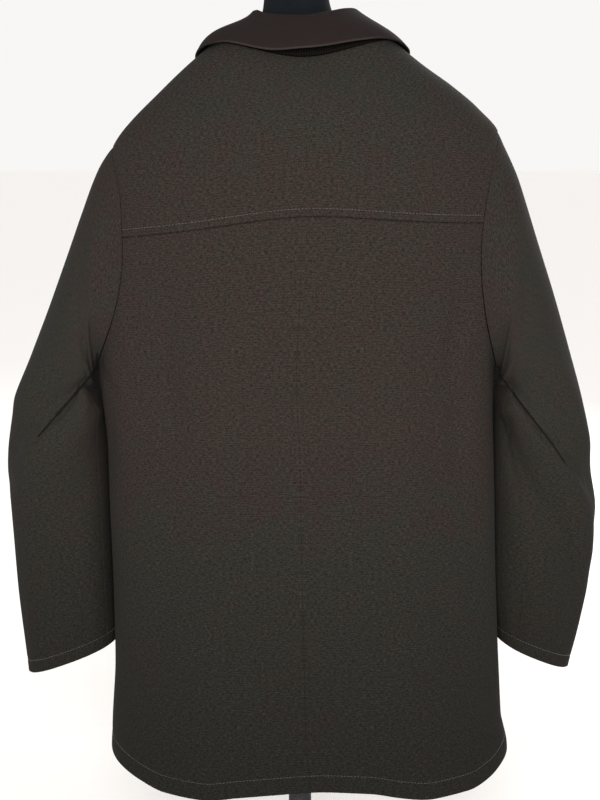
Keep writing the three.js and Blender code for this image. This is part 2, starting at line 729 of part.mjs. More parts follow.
// A body of revolution about the vertical axis, from [radius, height] corners.
const turned = (corners, sides) =>
  new THREE.LatheGeometry(
    corners.map(([radius, height]) => new THREE.Vector2(radius, height)),
    sides,
  ).rotateX(Math.PI / 2);

function standBase() {
  const edge = 3;
  return turned(
    [
      [0, 0],
      [BASE_RADIUS, 0],
      [BASE_RADIUS, BASE_THICKNESS - edge],
      [BASE_RADIUS - edge, BASE_THICKNESS],
      [HUB_RADIUS + 4, BASE_THICKNESS],
      [HUB_RADIUS, BASE_THICKNESS + 4],
      [HUB_RADIUS, HUB_HEIGHT - 2],
      [HUB_RADIUS - 2, HUB_HEIGHT],
      [0, HUB_HEIGHT],
    ],
    40,
  ).translate(0, 0, -RAISE);
}

function standPole() {
  return turned(
    [
      [0, HUB_HEIGHT - RAISE + STAND_GAP],
      [POLE_RADIUS, HUB_HEIGHT - RAISE + STAND_GAP],
      [POLE_RADIUS, FORM_BOTTOM - STAND_GAP],
      [0, FORM_BOTTOM - STAND_GAP],
    ],
    20,
  );
}

// ---- the object ------------------------------------------------------------------------------

const finish = (color, roughness, metalness = 0) =>
  new THREE.MeshStandardMaterial({ color, roughness, metalness });
const wool = finish(0x3d3632, 0.95);
const ribbedCloth = finish(0x1b1613, 0.95);
const collarCloth = finish(0x30272a, 0.85);
const horn = finish(0x2b1f17, 0.45);
const formSkin = finish(0x14181e, 0.6);
const darkMetal = finish(0x1a1b1d, 0.4, 0.8);

const coat = new THREE.Group();
coat.position.z = RAISE;
function add(name, geometry, material, place, turn) {
  const mesh = new THREE.Mesh(geometry, material);
  mesh.name = name;
  if (place) mesh.position.copy(place);
  if (turn) mesh.quaternion.copy(turn);
  coat.add(mesh);
}

add("back_yoke", yokePanel(), wool);
add("back_left", backPanel(1), wool);
add("back_right", backPanel(-1), wool);
add("front_left", frontPanel(1), wool);
add("front_right", frontPanel(-1), wool);
const frontOfTurn = FRONT_SEAM_STEP - FULL_TURN_STEPS;
add("sleeve_left_upper", sleevePanel(leftSleeve, frontOfTurn, BACK_SEAM_STEP), wool);
add("sleeve_left_under", sleevePanel(leftSleeve, BACK_SEAM_STEP, FRONT_SEAM_STEP), wool);
add("sleeve_right_upper", sleevePanel(rightSleeve, frontOfTurn, BACK_SEAM_STEP), wool);
add("sleeve_right_under", sleevePanel(rightSleeve, BACK_SEAM_STEP, FRONT_SEAM_STEP), wool);
const neckNormal = (around) => neckSurface(around).normal(90 - around, NECK);
const stand = collarPanel(standPoint, [0, 0.75, 1], -1, ribAround, ribRelief, neckNormal);
add("collar_stand", stand, ribbedCloth);
const fallShares = [0, 0.07, ARC_SHARE, 0.3, 0.45, 0.6, 0.75, 0.88, 1];
add("collar_fall", collarPanel(fallPoint, fallShares, 1, collarAround), collarCloth);
BUTTON_HEIGHTS.forEach((height, i) => {
  const made = button(height);
  add(`button_${i + 1}`, made.geometry, horn, made.place, made.turn);
});
add("form_torso", torso(), formSkin);
add("stand_pole", standPole(), darkMetal);
add("stand_base", standBase(), darkMetal);

export default coat;
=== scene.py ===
"""The looks of a man's wool coat on a dress form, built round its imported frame."""

import bpy
import numpy as np
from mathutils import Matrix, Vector


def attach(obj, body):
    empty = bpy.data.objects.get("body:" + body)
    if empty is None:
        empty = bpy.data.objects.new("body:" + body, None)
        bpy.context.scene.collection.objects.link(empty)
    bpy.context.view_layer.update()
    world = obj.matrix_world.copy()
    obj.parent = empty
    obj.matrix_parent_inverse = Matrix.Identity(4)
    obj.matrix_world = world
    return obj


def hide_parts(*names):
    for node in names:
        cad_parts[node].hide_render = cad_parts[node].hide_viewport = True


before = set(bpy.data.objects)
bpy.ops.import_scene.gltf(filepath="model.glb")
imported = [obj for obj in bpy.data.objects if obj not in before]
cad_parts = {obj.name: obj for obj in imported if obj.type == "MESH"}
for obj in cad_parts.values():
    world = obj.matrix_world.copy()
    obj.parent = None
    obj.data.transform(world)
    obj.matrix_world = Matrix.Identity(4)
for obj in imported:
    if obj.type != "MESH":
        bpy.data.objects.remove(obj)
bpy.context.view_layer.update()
bpy.context.scene.view_settings.view_transform = "Standard"

# ---- stand: base and pole ---------------------------------------------------------------------
# A turned steel disc with a hub, and a steel tube that stands in it and carries the form. Both are
# coated in dark satin paint, a little speckled and rubbed.

STAND_PAINT = (0.011, 0.012, 0.014, 1)
STAND_SHINE = (0.028, 0.028, 0.03, 1)


def add_node(tree, kind, inputs=(), **settings):
    """Adds one shader node. settings are its properties. inputs gives its sockets, by name or
    number, a value or the socket that feeds them."""
    made = tree.nodes.new(kind)
    for name, value in settings.items():
        setattr(made, name, value)
    for key, value in dict(inputs).items():
        if isinstance(value, bpy.types.NodeSocket):
            tree.links.new(value, made.inputs[key])
        else:
            made.inputs[key].default_value = value
    return made


def figured(tree, operation, *values, **settings):
    """One sum, product or other step on sockets and numbers."""
    return add_node(tree, "ShaderNodeMath", dict(enumerate(values)), operation=operation,
                    **settings).outputs[0]


def ranged(tree, value, low, high, to_low=0.0, to_high=1.0, **settings):
    """A value carried evenly from low to high over to to_low to to_high, and held at its ends."""
    return add_node(tree, "ShaderNodeMapRange", {
        "Value": value, "From Min": low, "From Max": high, "To Min": to_low, "To Max": to_high,
    }, **settings).outputs[0]


def blended(tree, share, first, second, **settings):
    """A colour between two: the first at share 0 and the second at share 1."""
    return add_node(tree, "ShaderNodeMix", {0: share, 6: first, 7: second}, data_type="RGBA",
                    **settings).outputs[2]


def noise(tree, place, scale, detail, **more):
    """Cloudy noise from 0 to 1 at a place."""
    return add_node(tree, "ShaderNodeTexNoise", {
        "Vector": place, "Scale": scale, "Detail": detail, **more}).outputs["Fac"]


def object_place(tree):
    """A shaded point's place on the whole object, in metres."""
    return add_node(tree, "ShaderNodeTexCoord").outputs["Object"]


def new_finish(name, **sockets):
    """A material of one Principled shader with these constant values: its tree and shader."""
    finish = bpy.data.materials.new(name)
    finish.use_nodes = True
    shader = finish.node_tree.nodes["Principled BSDF"]
    for key, value in sockets.items():
        shader.inputs[key.replace("_", " ")].default_value = value
    return finish, finish.node_tree, shader


def colour_and_grain(tree, shader, colour, height, strength, distance):
    """Gives a finish its colour and the fine relief of a height. distance is in metres."""
    tree.links.new(colour, shader.inputs["Base Color"])
    grain = add_node(tree, "ShaderNodeBump", {
        "Strength": strength, "Distance": distance, "Height": height})
    tree.links.new(grain.outputs[0], shader.inputs["Normal"])


def new_group(name, inputs, outputs):
    """A shader node group. inputs gives each socket's kind and first value, outputs its kind."""
    group = bpy.data.node_groups.new(name, "ShaderNodeTree")
    for label, (kind, value) in inputs.items():
        made = group.interface.new_socket(label, in_out="INPUT", socket_type=kind)
        if value is not None:
            made.default_value = value
    for label, kind in outputs.items():
        group.interface.new_socket(label, in_out="OUTPUT", socket_type=kind)
    return group, group.nodes.new("NodeGroupInput"), group.nodes.new("NodeGroupOutput")


def group_node(tree, group, inputs):
    """Places a node group in a tree, with its own values: its outputs."""
    return add_node(tree, "ShaderNodeGroup", inputs, node_tree=group).outputs


FLOAT, VECTOR = "NodeSocketFloat", "NodeSocketVector"

# Speckle: two grains of noise, one coarse and one fine, as a mask and as a height.
speckle, given, made = new_group(
    "speckle",
    {"Vector": (VECTOR, None), "Scale": (FLOAT, 60.0), "Contrast": (FLOAT, 1.0)},
    {"Mask": FLOAT, "Height": FLOAT},
)
place, scale = given.outputs["Vector"], given.outputs["Scale"]
coarse = noise(speckle, place, scale, 4.0)
fine = noise(speckle, place, figured(speckle, "MULTIPLY", scale, 9.0), 2.0)
spread = ranged(speckle, figured(speckle, "MULTIPLY", coarse, fine), 0.12, 0.42)
sharp = figured(speckle, "POWER", spread, given.outputs["Contrast"])
speckle.links.new(sharp, made.inputs["Mask"])
speckle.links.new(fine, made.inputs["Height"])


def speckled(tree, place, scale, contrast=1.0):
    """The speckle at a place: its mask and its height."""
    marks = group_node(tree, speckle, {"Vector": place, "Scale": scale, "Contrast": contrast})
    return marks["Mask"], marks["Height"]


stand_paint, tree, shader = new_finish("stand_paint", Specular_IOR_Level=0.3)
marks, grain = speckled(tree, object_place(tree), 90.0, 1.6)
tree.links.new(ranged(tree, marks, 0.0, 1.0, 0.66, 0.52), shader.inputs["Roughness"])
tone = blended(tree, marks, STAND_PAINT, STAND_SHINE)
colour_and_grain(tree, shader, tone, grain, 0.15, 0.0004)
for node in ("stand_base", "stand_pole"):
    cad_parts[node].data.materials.clear()
    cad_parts[node].data.materials.append(stand_paint)

# ---- dress form: torso and neck ---------------------------------------------------------------
# A limbless torso of moulded foam under a tight dark jersey, closed below and at the top of the
# neck. Its shoulders carry the coat, so they follow the rings of the coat from inside.

RAISE = 40  # heights in the tables are measured from this far above the floor, in mm
CLOTH = 2.6
REST = 0.7  # the space between the cloth and the form's shoulders
FRONT_SPACE = 2.5  # how much wider it is in front
FORM_DARK = (0.0011, 0.0019, 0.0029, 1)
FORM_LIGHT = (0.0023, 0.0037, 0.0055, 1)


def table(columns, rows):
    """The columns of a table of rows, by name."""
    return dict(zip(columns.split(), np.array(rows, float).T))


FORM = table("height half back front riseBack riseFront shift square", [
    [336, 140, 88, 86, 0, 0, 0, 2.1],
    [342, 156, 102, 98, 0, 0, 0, 2.1],
    [360, 168, 112, 106, 0, 0, 0, 2.2],
    [430, 172, 116, 108, 0, 0, 0, 2.2],
    [560, 146, 92, 100, 0, 0, 0, 2.2],
    [690, 160, 108, 114, 4, 0, 0, 2.25],
    [770, 172, 110, 112, 14, 0, -3, 2.3],
    [830, 184, 104, 98, 24, -4, -5, 2.35],
    [885, 196, 92, 80, 28, -14, -5, 2.35],
    [920, 190, 84, 70, 18, -26, -4, 2.3],
    [975, 124, 68, 54, -11, -62, -3, 2.15],
    [992, 92, 56, 44, -15, -58, -2, 2.1],
    [1006, 62, 48, 41, -12, -42, 0, 2.05],
    [1018, 47, 44, 40, -8, -25, 2, 2],
    [1031, 41, 42, 40, -3, -11, 3, 2],
    [1046, 38, 41, 40, 0, 0, 4, 2],
    [1074, 36, 39, 39, 0, 0, 4, 2],
    [1080, 33, 36, 36, 0, 0, 4, 2],
    [1082, 28, 31, 31, 0, 0, 4, 2],
])
# Between these heights the form turns into the inside of the coat, and back into its own rings.
SEAT_FROM, SEAT_FULL, SEAT_LAST, SEAT_TO = 875, 903, 966, 984

# Rings of the coat's body: half, back and front are a ring's reach, riseBack and riseFront how
# much higher it stands at the back and front, and tilt how much higher the right shoulder is, at
# TILT_REACH from the middle.
TILT_REACH = 200
BODY = table("height half back front riseBack riseFront shift tilt square", [
    [115, 246, 151, 149, 0, 0, -12, 0, 2.4],
    [150, 244, 151, 149, 0, 0, -11, 0, 2.4],
    [190, 238, 150, 148, 0, 0, -7, 0, 2.4],
    [260, 233, 147, 145, 0, 0, -5.5, 0, 2.45],
    [400, 231, 141, 142, 0, 0, -2, 0, 2.5],
    [520, 233, 134, 139, 0, 0, 0, 0, 2.5],
    [615, 238, 131, 138, 2, 0, 4, 0, 2.5],
    [700, 243, 131, 136, 10, 0, 0, 4, 2.5],
    [780, 244, 128, 127, 20, 2, -3, 8, 2.45],
    [840, 239, 120, 112, 27, -6, -6, 8, 2.4],
    [885, 226, 106, 95, 30, -15, -6, 8, 2.35],
    [912, 205, 97, 85, 23, -24, -4, 8, 2.3],
    [940, 175, 88, 76, 10, -38, -4, 7, 2.25],
    [970, 139, 79, 68, -7, -60, -3, 4, 2.15],
    [1000, 103, 70, 62, -22, -84, -4, 2, 2.05],
    [1030, 69, 61, 56, -37, -108, -4, 1, 2],
])


def through(rows, key, column, at):
    """A smooth curve through one column of a table, read at many places. It is a cubic between
    rows, whose slope at a row is the harmonic mean of the slopes beside it."""
    x, y = rows[key], rows[column]
    slope = np.diff(y) / np.diff(x)
    before, after = slope[:-1], slope[1:]
    total = np.where(before + after == 0, 1, before + after)
    inner = np.where(before * after > 0, 2 * before * after / total, 0)
    tangent = np.concatenate([slope[:1], inner, slope[-1:]])
    q = np.clip(at, x[0], x[-1])
    i = np.clip(np.searchsorted(x, q, "right") - 1, 0, len(x) - 2)
    span = x[i + 1] - x[i]
    s = (q - x[i]) / span
    return ((1 + 2 * s) * (1 - s) ** 2 * y[i] + s * (1 - s) ** 2 * span * tangent[i]
            + s * s * (3 - 2 * s) * y[i + 1] + s * s * (s - 1) * span * tangent[i + 1])


def smooth(x):
    """An even step from 0 to 1 as x goes from 0 to 1."""
    x = np.clip(x, 0, 1)
    return x * x * (3 - 2 * x)


def ring_point(rows, angle, height):
    """A point on a table's ring: a superellipse in the polar angle (0 at the wearer's left, 90 at
    the back), which rises towards its back or front and leans by its tilt."""
    ring = {name: through(rows, "height", name, height) for name in rows if name != "height"}
    c, s = np.cos(np.radians(angle)), np.sin(np.radians(angle))
    depth = np.where(s > 0, ring["back"], ring["front"])
    rise = np.where(s > 0, ring["riseBack"], ring["riseFront"])
    power = ring["square"]
    reach = (np.abs(c / ring["half"]) ** power + np.abs(s / depth) ** power) ** (-1 / power)
    x = ring["shift"] + reach * c
    lean = ring.get("tilt", 0) * x / TILT_REACH
    return np.stack([x, reach * s, height + rise * s * s - lean], axis=-1)


def unit(vectors):
    """Vectors of length 1 in the directions of these."""
    return vectors / np.linalg.norm(vectors, axis=-1, keepdims=True)


def normal_of(point, turn=1):
    """The unit normal of a surface point(u, v), from a small step either way. turn is -1 where
    u and v would make it face in."""
    step = 0.25

    def normal(u, v):
        across = point(u + step, v) - point(u - step, v)
        up = point(u, v + step) - point(u, v - step)
        return turn * unit(np.cross(across, up))
    return normal


def plain_body(angle, height):
    """The coat's body without its folds."""
    return ring_point(BODY, angle, height)


plain_body_normal = normal_of(plain_body)


def form_point(angle, height):
    """The form's own ring, which turns into the inside of the coat over the shoulders."""
    rising = smooth((height - SEAT_FROM) / (SEAT_FULL - SEAT_FROM))
    falling = smooth((SEAT_TO - height) / (SEAT_TO - SEAT_LAST))
    share = (rising * falling)[..., None]
    space = CLOTH + REST + FRONT_SPACE * smooth(-np.sin(np.radians(angle)) * 7)
    inside = plain_body(angle, height) - plain_body_normal(angle, height) * space[..., None]
    return ring_point(FORM, angle, height) * (1 - share) + inside * share


def new_piece(name, points, faces, material, uv=None):
    """A mesh piece from points in mm and faces, smooth shaded, riding on the object's one body.
    uv gives each point its place on the flat cloth, in metres."""
    mesh = bpy.data.meshes.new(name)
    points = np.asarray(points, float).reshape(-1, 3) / 1000 + np.array([0, 0, RAISE / 1000])
    faces = [np.asarray(f).reshape(-1, np.asarray(f).shape[-1]) for f in faces]
    corners = np.concatenate([f.ravel() for f in faces]).astype(np.int32)
    sizes = np.concatenate([np.full(len(f), f.shape[1]) for f in faces])
    mesh.vertices.add(len(points))
    mesh.vertices.foreach_set("co", points.astype(np.float32).ravel())
    mesh.loops.add(len(corners))
    mesh.loops.foreach_set("vertex_index", corners)
    mesh.polygons.add(len(sizes))
    starts = np.concatenate([[0], np.cumsum(sizes)[:-1]])
    mesh.polygons.foreach_set("loop_start", starts.astype(np.int32))
    mesh.polygons.foreach_set("use_smooth", np.ones(len(sizes), bool))
    if uv is not None:
        layer = mesh.uv_layers.new(name="cloth")
        layer.data.foreach_set("uv", np.asarray(uv, np.float32).reshape(-1, 2)[corners].ravel())
    mesh.update(calc_edges=True)
    mesh.validate()
    mesh.materials.append(material)
    piece = bpy.data.objects.new(name, mesh)
    bpy.context.scene.collection.objects.link(piece)
    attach(piece, "root")
    return piece


def tube_faces(rows, columns):
    """The quads of a grid that closes on itself sideways, facing out where rows go up and
    columns go anticlockwise."""
    i, j = np.meshgrid(np.arange(rows - 1), np.arange(columns), indexing="ij")
    k = (j + 1) % columns
    return np.stack([i * columns + j, i * columns + k,
                     (i + 1) * columns + k, (i + 1) * columns + j], axis=-1)


def closed_faces(rows, columns):
    """The faces of such a grid with a fan of triangles at either end, to two middle points that
    come after the grid's own."""
    count = rows * columns
    first = np.arange(columns)
    last = first + count - columns
    return [tube_faces(rows, columns),
            np.stack([np.roll(first, -1), first, np.full(columns, count)], axis=-1),
            np.stack([last, np.roll(last, -1), np.full(columns, count + 1)], axis=-1)]


FORM_SIDES = 120
# Its rows stand closer at the rounded ends and over the shoulders: from, to and how many.
FORM_ROWS = [(336, 360, 8), (360, 860, 71), (860, 1046, 69), (1046, 1082, 19)]
LID_SHARES = [0.66, 0.33]  # the rings between an end's edge and its middle

heights = [np.linspace(start, stop, count, endpoint=False) for start, stop, count in FORM_ROWS]
heights = np.concatenate([*heights, [FORM_ROWS[-1][1]]])
around, height = np.meshgrid(np.arange(FORM_SIDES) * 360 / FORM_SIDES, heights)
skin = form_point(around, height)
inset = np.array(LID_SHARES)[:, None, None]
ends = np.stack([skin[0].mean(0), skin[-1].mean(0)])
underside = ends[0] * (1 - inset[::-1]) + skin[0] * inset[::-1]
lid = ends[1] * (1 - inset) + skin[-1] * inset
rings = np.concatenate([underside, skin, lid])

form_cover, tree, shader = new_finish("form_cover", Roughness=0.95, Specular_IOR_Level=0.12)
place = object_place(tree)
knit = add_node(tree, "ShaderNodeTexWave", {
    "Vector": place, "Scale": 260.0, "Distortion": 1.5, "Detail": 1.0}, bands_direction="Z")
tone = blended(tree, speckled(tree, place, 45.0, 1.2)[0], FORM_DARK, FORM_LIGHT)
colour_and_grain(tree, shader, tone, knit.outputs["Fac"], 0.12, 0.0003)

form = new_piece("form_jersey", np.concatenate([rings.reshape(-1, 3), ends]),
                 closed_faces(len(rings), FORM_SIDES), form_cover)
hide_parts("form_torso")

# ---- wool cloth -------------------------------------------------------------------------------
# A thick coating cloth of brown and olive yarns with pale flecks, woven in a close broken rib.
# Every piece of it is a wall of one thickness whose seam edges turn in.

WOOL_BROWN = (0.0200, 0.0142, 0.0121, 1)
WOOL_OLIVE = (0.0174, 0.0161, 0.0127, 1)
WOOL_DEEP = (0.34, 0.34, 0.34, 1)
# painted shade: how much darker the cloth is painted low down, where less light reaches
WOOL_LOW_SHADE = (0.53, 0.53, 0.53, 1)
FLECK = (0.048, 0.043, 0.036, 1)
ROW_RATE, COLUMN_RATE = 2250.0, 2700.0  # the close even weave, in radians to a metre

# Yarns: warp and weft as streaks of noise, long in the yarn's direction and a yarn wide across
# it, over a close even weave. Shade is how light the yarn is, Fleck marks its pale fibres, and
# Height its roundness.
yarns, given, made = new_group(
    "yarns",
    {"Vector": (VECTOR, None), "Warp": (FLOAT, 900.0), "Weft": (FLOAT, 860.0),
     "Streak": (FLOAT, 0.28)},
    {"Shade": FLOAT, "Fleck": FLOAT, "Height": FLOAT},
)


def parts_of(tree, place):
    """The three parts of a place: across, forward or back, and up."""
    return add_node(tree, "ShaderNodeSeparateXYZ", {0: place}).outputs


across, up, _ = parts_of(yarns, given.outputs["Vector"])
warp_pitch, weft_pitch, streak = (given.outputs[name] for name in ("Warp", "Weft", "Streak"))
warp_across, warp_up, weft_across, weft_up = (
    figured(yarns, "MULTIPLY", *pair)
    for pair in ((across, warp_pitch), (up, warp_pitch), (across, weft_pitch), (up, weft_pitch)))
warp_at = add_node(yarns, "ShaderNodeCombineXYZ", {
    0: warp_across, 1: figured(yarns, "MULTIPLY", warp_up, streak), 2: 0.0}).outputs[0]
weft_at = add_node(yarns, "ShaderNodeCombineXYZ", {
    0: figured(yarns, "MULTIPLY", weft_across, streak), 1: weft_up, 2: 7.0}).outputs[0]
rows = figured(yarns, "SINE", figured(yarns, "MULTIPLY", up, ROW_RATE))
columns = figured(yarns, "SINE", figured(yarns, "MULTIPLY", across, COLUMN_RATE))
woven = figured(yarns, "MULTIPLY", rows, figured(yarns, "MULTIPLY_ADD", columns, 0.4, 0.7))
warp = figured(yarns, "MULTIPLY", noise(yarns, warp_at, 1.0, 1.0), 0.8)
weft = figured(yarns, "MULTIPLY", noise(yarns, weft_at, 1.0, 1.0), 1.2)
shade = figured(yarns, "MULTIPLY_ADD", woven, 0.07, figured(yarns, "ADD", warp, weft))
fleck_at = add_node(yarns, "ShaderNodeVectorMath", {
    0: weft_at, 1: (0.83, 0.71, 1.0)}, operation="MULTIPLY").outputs[0]
fleck = ranged(yarns, noise(yarns, fleck_at, 1.0, 0.0), 0.64, 0.86, 0.0, 0.18)
yarns.links.new(ranged(yarns, shade, 0.76, 1.24), made.inputs["Shade"])
yarns.links.new(fleck, made.inputs["Fleck"])
yarns.links.new(shade, made.inputs["Height"])

# The lines of the two elbow folds on the back of the sleeves, seen level from behind: from one
# place to another across and up, and their width, in metres.
FOLD_LINES = [
    (0.2385, 0.676, 0.2420, 0.655, 0.0024),
    (0.2420, 0.655, 0.2900, 0.600, 0.0030),
    (0.2900, 0.600, 0.3130, 0.574, 0.0020),
    (-0.2330, 0.654, -0.2660, 0.610, 0.0021),
    (-0.2660, 0.610, -0.3010, 0.566, 0.0022),
    (-0.3010, 0.566, -0.3180, 0.541, 0.0022),
]
FOLD_SHADE = (0.0016, 0.0014, 0.0012, 1)

# Fold line: a soft mask along the line from one place to another. It is measured across and up
# only, and fades out towards the side of the sleeve.
fold_line, given, made = new_group(
    "fold_line",
    {"Vector": (VECTOR, None), "From": (VECTOR, None), "To": (VECTOR, None),
     "Width": (FLOAT, 0.0015)},
    {"Mask": FLOAT},
)


def vectored(operation, *values):
    """One step on vectors in the fold line's tree."""
    return add_node(fold_line, "ShaderNodeVectorMath", dict(enumerate(values)),
                    operation=operation).outputs


level_at = vectored("MULTIPLY", given.outputs["Vector"], (1.0, 0.0, 1.0))[0]
reach = vectored("SUBTRACT", given.outputs["To"], given.outputs["From"])[0]
walked = vectored("SUBTRACT", level_at, given.outputs["From"])[0]
share = figured(fold_line, "DIVIDE", vectored("DOT_PRODUCT", walked, reach)["Value"],
                vectored("DOT_PRODUCT", reach, reach)["Value"], use_clamp=True)
nearest = add_node(fold_line, "ShaderNodeVectorMath", {0: reach, 3: share},
                   operation="SCALE").outputs[0]
off = vectored("LENGTH", vectored("SUBTRACT", walked, nearest)[0])["Value"]
mask = ranged(fold_line, off, given.outputs["Width"], 0.0, 0.0, 0.96,
              interpolation_type="SMOOTHSTEP")
behind = ranged(fold_line, parts_of(fold_line, given.outputs["Vector"])[1], 0.0, 0.02)
fold_line.links.new(figured(fold_line, "MULTIPLY", mask, behind), made.inputs["Mask"])


def cloth_place(tree):
    """A shaded point's place on the flat cloth, in metres."""
    return add_node(tree, "ShaderNodeUVMap", uv_map="cloth").outputs[0]


wool, tree, shader = new_finish("wool", Roughness=1.0, Specular_IOR_Level=0.12)
weave = group_node(tree, yarns, {"Vector": cloth_place(tree)})
place = object_place(tree)
across, _, up = parts_of(tree, place)
# The brown fades to olive towards the sleeves, the hem and the neck, in uneven patches, and low
# down the cloth is painted darker, as shade for the light falling off towards the hem.
drift = noise(tree, place, 30.0, 2.0, Roughness=0.7)
edge = ranged(tree, figured(tree, "ABSOLUTE", across), 0.20, 0.28)
low = ranged(tree, up, 0.56, 0.44)
high = ranged(tree, up, 0.88, 0.97, 0.0, 0.75)
olive = figured(tree, "MAXIMUM", figured(tree, "MAXIMUM", edge, low), high)
patchy = ranged(tree, drift, 0.36, 0.64, -0.45, 0.55)
dye_and_low_shade = blended(tree, figured(tree, "ADD", olive, patchy, use_clamp=True), WOOL_BROWN, WOOL_OLIVE)
# Painted shade: the colour darkens towards the hem, standing in for the light's fall-off.
shaded_low = blended(tree, 1.0, dye_and_low_shade, WOOL_LOW_SHADE, blend_type="MULTIPLY")
dye_and_low_shade = blended(tree, ranged(tree, up, 0.60, 0.20), dye_and_low_shade, shaded_low)
deep = blended(tree, 1.0, dye_and_low_shade, WOOL_DEEP, blend_type="MULTIPLY")
tone = blended(tree, weave["Fleck"], blended(tree, weave["Shade"], deep, dye_and_low_shade), FLECK)
# The elbows' folds are pressed in, and the bottom of each is a thin line in deep shade.
shade = 0.0
for x0, z0, x1, z1, width in FOLD_LINES:
    line = group_node(tree, fold_line, {
        "Vector": place, "From": (x0, 0, z0), "To": (x1, 0, z1), "Width": width})
    shade = figured(tree, "MAXIMUM", line["Mask"], shade)
tone = blended(tree, shade, tone, FOLD_SHADE)
colour_and_grain(tree, shader, tone, weave["Height"], 0.3, 0.0005)


def edge_distances(points):
    """How far each point of a grid lies from its first column, last column, first row and last
    row, walked along the grid."""
    step_u = np.linalg.norm(np.diff(points, axis=1), axis=-1)
    step_v = np.linalg.norm(np.diff(points, axis=0), axis=-1)
    from_u = np.pad(np.cumsum(step_u, axis=1), ((0, 0), (1, 0)))
    from_v = np.pad(np.cumsum(step_v, axis=0), ((1, 0), (0, 0)))
    return from_u, from_u[:, -1:] - from_u, from_v, from_v[-1:] - from_v


def turned_in(distance, depth, reach):
    """How far a seam edge turns in at a distance from it: a quarter of an oval, with its depth at
    the edge and none past its reach."""
    return -depth * (1 - np.sqrt(1 - (1 - np.clip(distance / reach, 0, 1)) ** 2))


def bell(distance, at, width):
    """A bell curve: 1 at a distance, fading out over its width to either side."""
    return np.exp(-((distance - at) / width) ** 2)


def stitched(distance, at, depth, width):
    """The soft furrow that a row of topstitching pulls into the cloth."""
    return -depth * bell(distance, at, width)


def cloth_wall(name, points, facing, shape, relief, rim, flat_uv, thickness=CLOTH, material=wool):
    """A wall of cloth on a grid of points. The whole wall moves along its normal by its shape,
    and its outside by the relief as well. rim gives how far the four edges (first row, last row,
    first column, last column) round out. Returns the piece, its outer points and normals."""
    along_u, along_v = np.gradient(points, axis=1), np.gradient(points, axis=0)
    normal = unit(np.cross(along_u, along_v))
    turn = 1 if (normal * facing).sum() > 0 else -1
    normal = normal * turn
    outer = points + normal * (shape + relief)[..., None]
    inner = points + normal * (shape - thickness)[..., None]
    rows, columns = outer.shape[:2]
    number = np.arange(rows * columns).reshape(rows, columns)
    loop = np.concatenate([number[0, :-1], number[:-1, -1], number[-1, :0:-1], number[:0:-1, 0]])
    out_u, out_v = unit(along_u), unit(along_v)
    push = np.zeros_like(outer)
    push[0] -= out_v[0] * rim[0]
    push[-1] += out_v[-1] * rim[1]
    push[:, 0] -= out_u[:, 0] * rim[2]
    push[:, -1] += out_u[:, -1] * rim[3]
    flat_outer, flat_inner = outer.reshape(-1, 3), inner.reshape(-1, 3)
    middle = (flat_outer[loop] + flat_inner[loop]) / 2 + push.reshape(-1, 3)[loop]
    quads = np.stack([number[:-1, :-1], number[:-1, 1:], number[1:, 1:], number[1:, :-1]],
                     axis=-1).reshape(-1, 4)
    size = rows * columns
    after = np.roll(loop, -1)
    mid = 2 * size + np.arange(len(loop))
    mid_after = np.roll(mid, -1)
    faces = np.concatenate([
        quads, quads[:, ::-1] + size,
        np.stack([after, loop, mid, mid_after], axis=-1),
        np.stack([mid_after, mid, loop + size, after + size], axis=-1)])
    if turn < 0:
        faces = faces[:, ::-1]
    uv = flat_uv.reshape(-1, 2) / 1000
    piece = new_piece(name, np.concatenate([flat_outer, flat_inner, middle]), [faces], material,
                      np.concatenate([uv, uv, uv[loop]]))
    return piece, outer, normal


# ---- body: back yoke, two backs, two fronts ---------------------------------------------------
# The yoke crosses the shoulders in one piece, lapped and topstitched over the two backs, which
# meet in a centre seam. The left front laps over the right one.

SEAM = 0.4  # the width of the space that stands in for a seam's thread
ARMHOLE_SEAM = 0.7
LAP = 3.8  # how far the left front stands off the right one
LAP_WIDTH = 22  # how far a front reaches past the centre
HEM = 130
UNDERARM = 615
SHOULDER = 885
NECK = 1000
YOKE_SEAM = 780
ARMHOLE_REACH = 22  # half the armhole's width, in degrees round the body
LAP_START, LAP_FULL = -42, -74
BODY_DEGREE = 3.1  # mm of cloth to a degree round the body
SEAM_TURN = 1.7  # how far back from its edge a seam turns in, against its depth
SEAM_FADE = 8  # creases end within this distance of a seam
HUNG_FADE = 30  # how far below the form's seat the whole wall has taken up the creases
BACK_COLUMNS, YOKE_COLUMNS, FRONT_COLUMNS = 64, 130, 66

HEM_LINE = table("around height", [
    [-180, 147], [-160, 136], [-90, 131], [-20, 136], [0, 147], [16, 139], [26, 131],
    [35, 124], [48, 123], [60, 128], [85, 133], [100, 134], [116, 133], [126, 128],
    [138, 122], [150, 122], [158, 128], [166, 137], [180, 147],
])
# How far the rows near the hem follow its line.
HEM_SHARES = table("height share", [[HEM, 1], [162, 0.5], [194, 0.2], [230, 0]])
# The large folds of the body: around is the angle of a fold's line, which leans by so many
# degrees for each 100 mm of height.
BODY_FOLDS = table("around lean width low high depth", [
    [35, -1, 9, 500, 790, -6],
    [52, 1, 9, 420, 740, 3],
    [150, 0, 9, 400, 780, -6],
    [134, -1, 9, 300, 740, 3],
    [168, -2, 9, 100, 560, 6],
    [132, 1, 14, 40, 330, 9],
    [50, 0, 14, 40, 320, 7],
    [92, 0, 14, 40, 300, -4],
    [-40, -1, 11, 40, 420, 6],
    [-64, 0, 9, 200, 640, -4],
    [-140, 1, 11, 40, 420, 6],
    [-118, 0, 9, 200, 640, -4],
])


def turn_between(a, b):
    """Degrees from one angle to another, the short way round."""
    return (a - b + 180) % 360 - 180


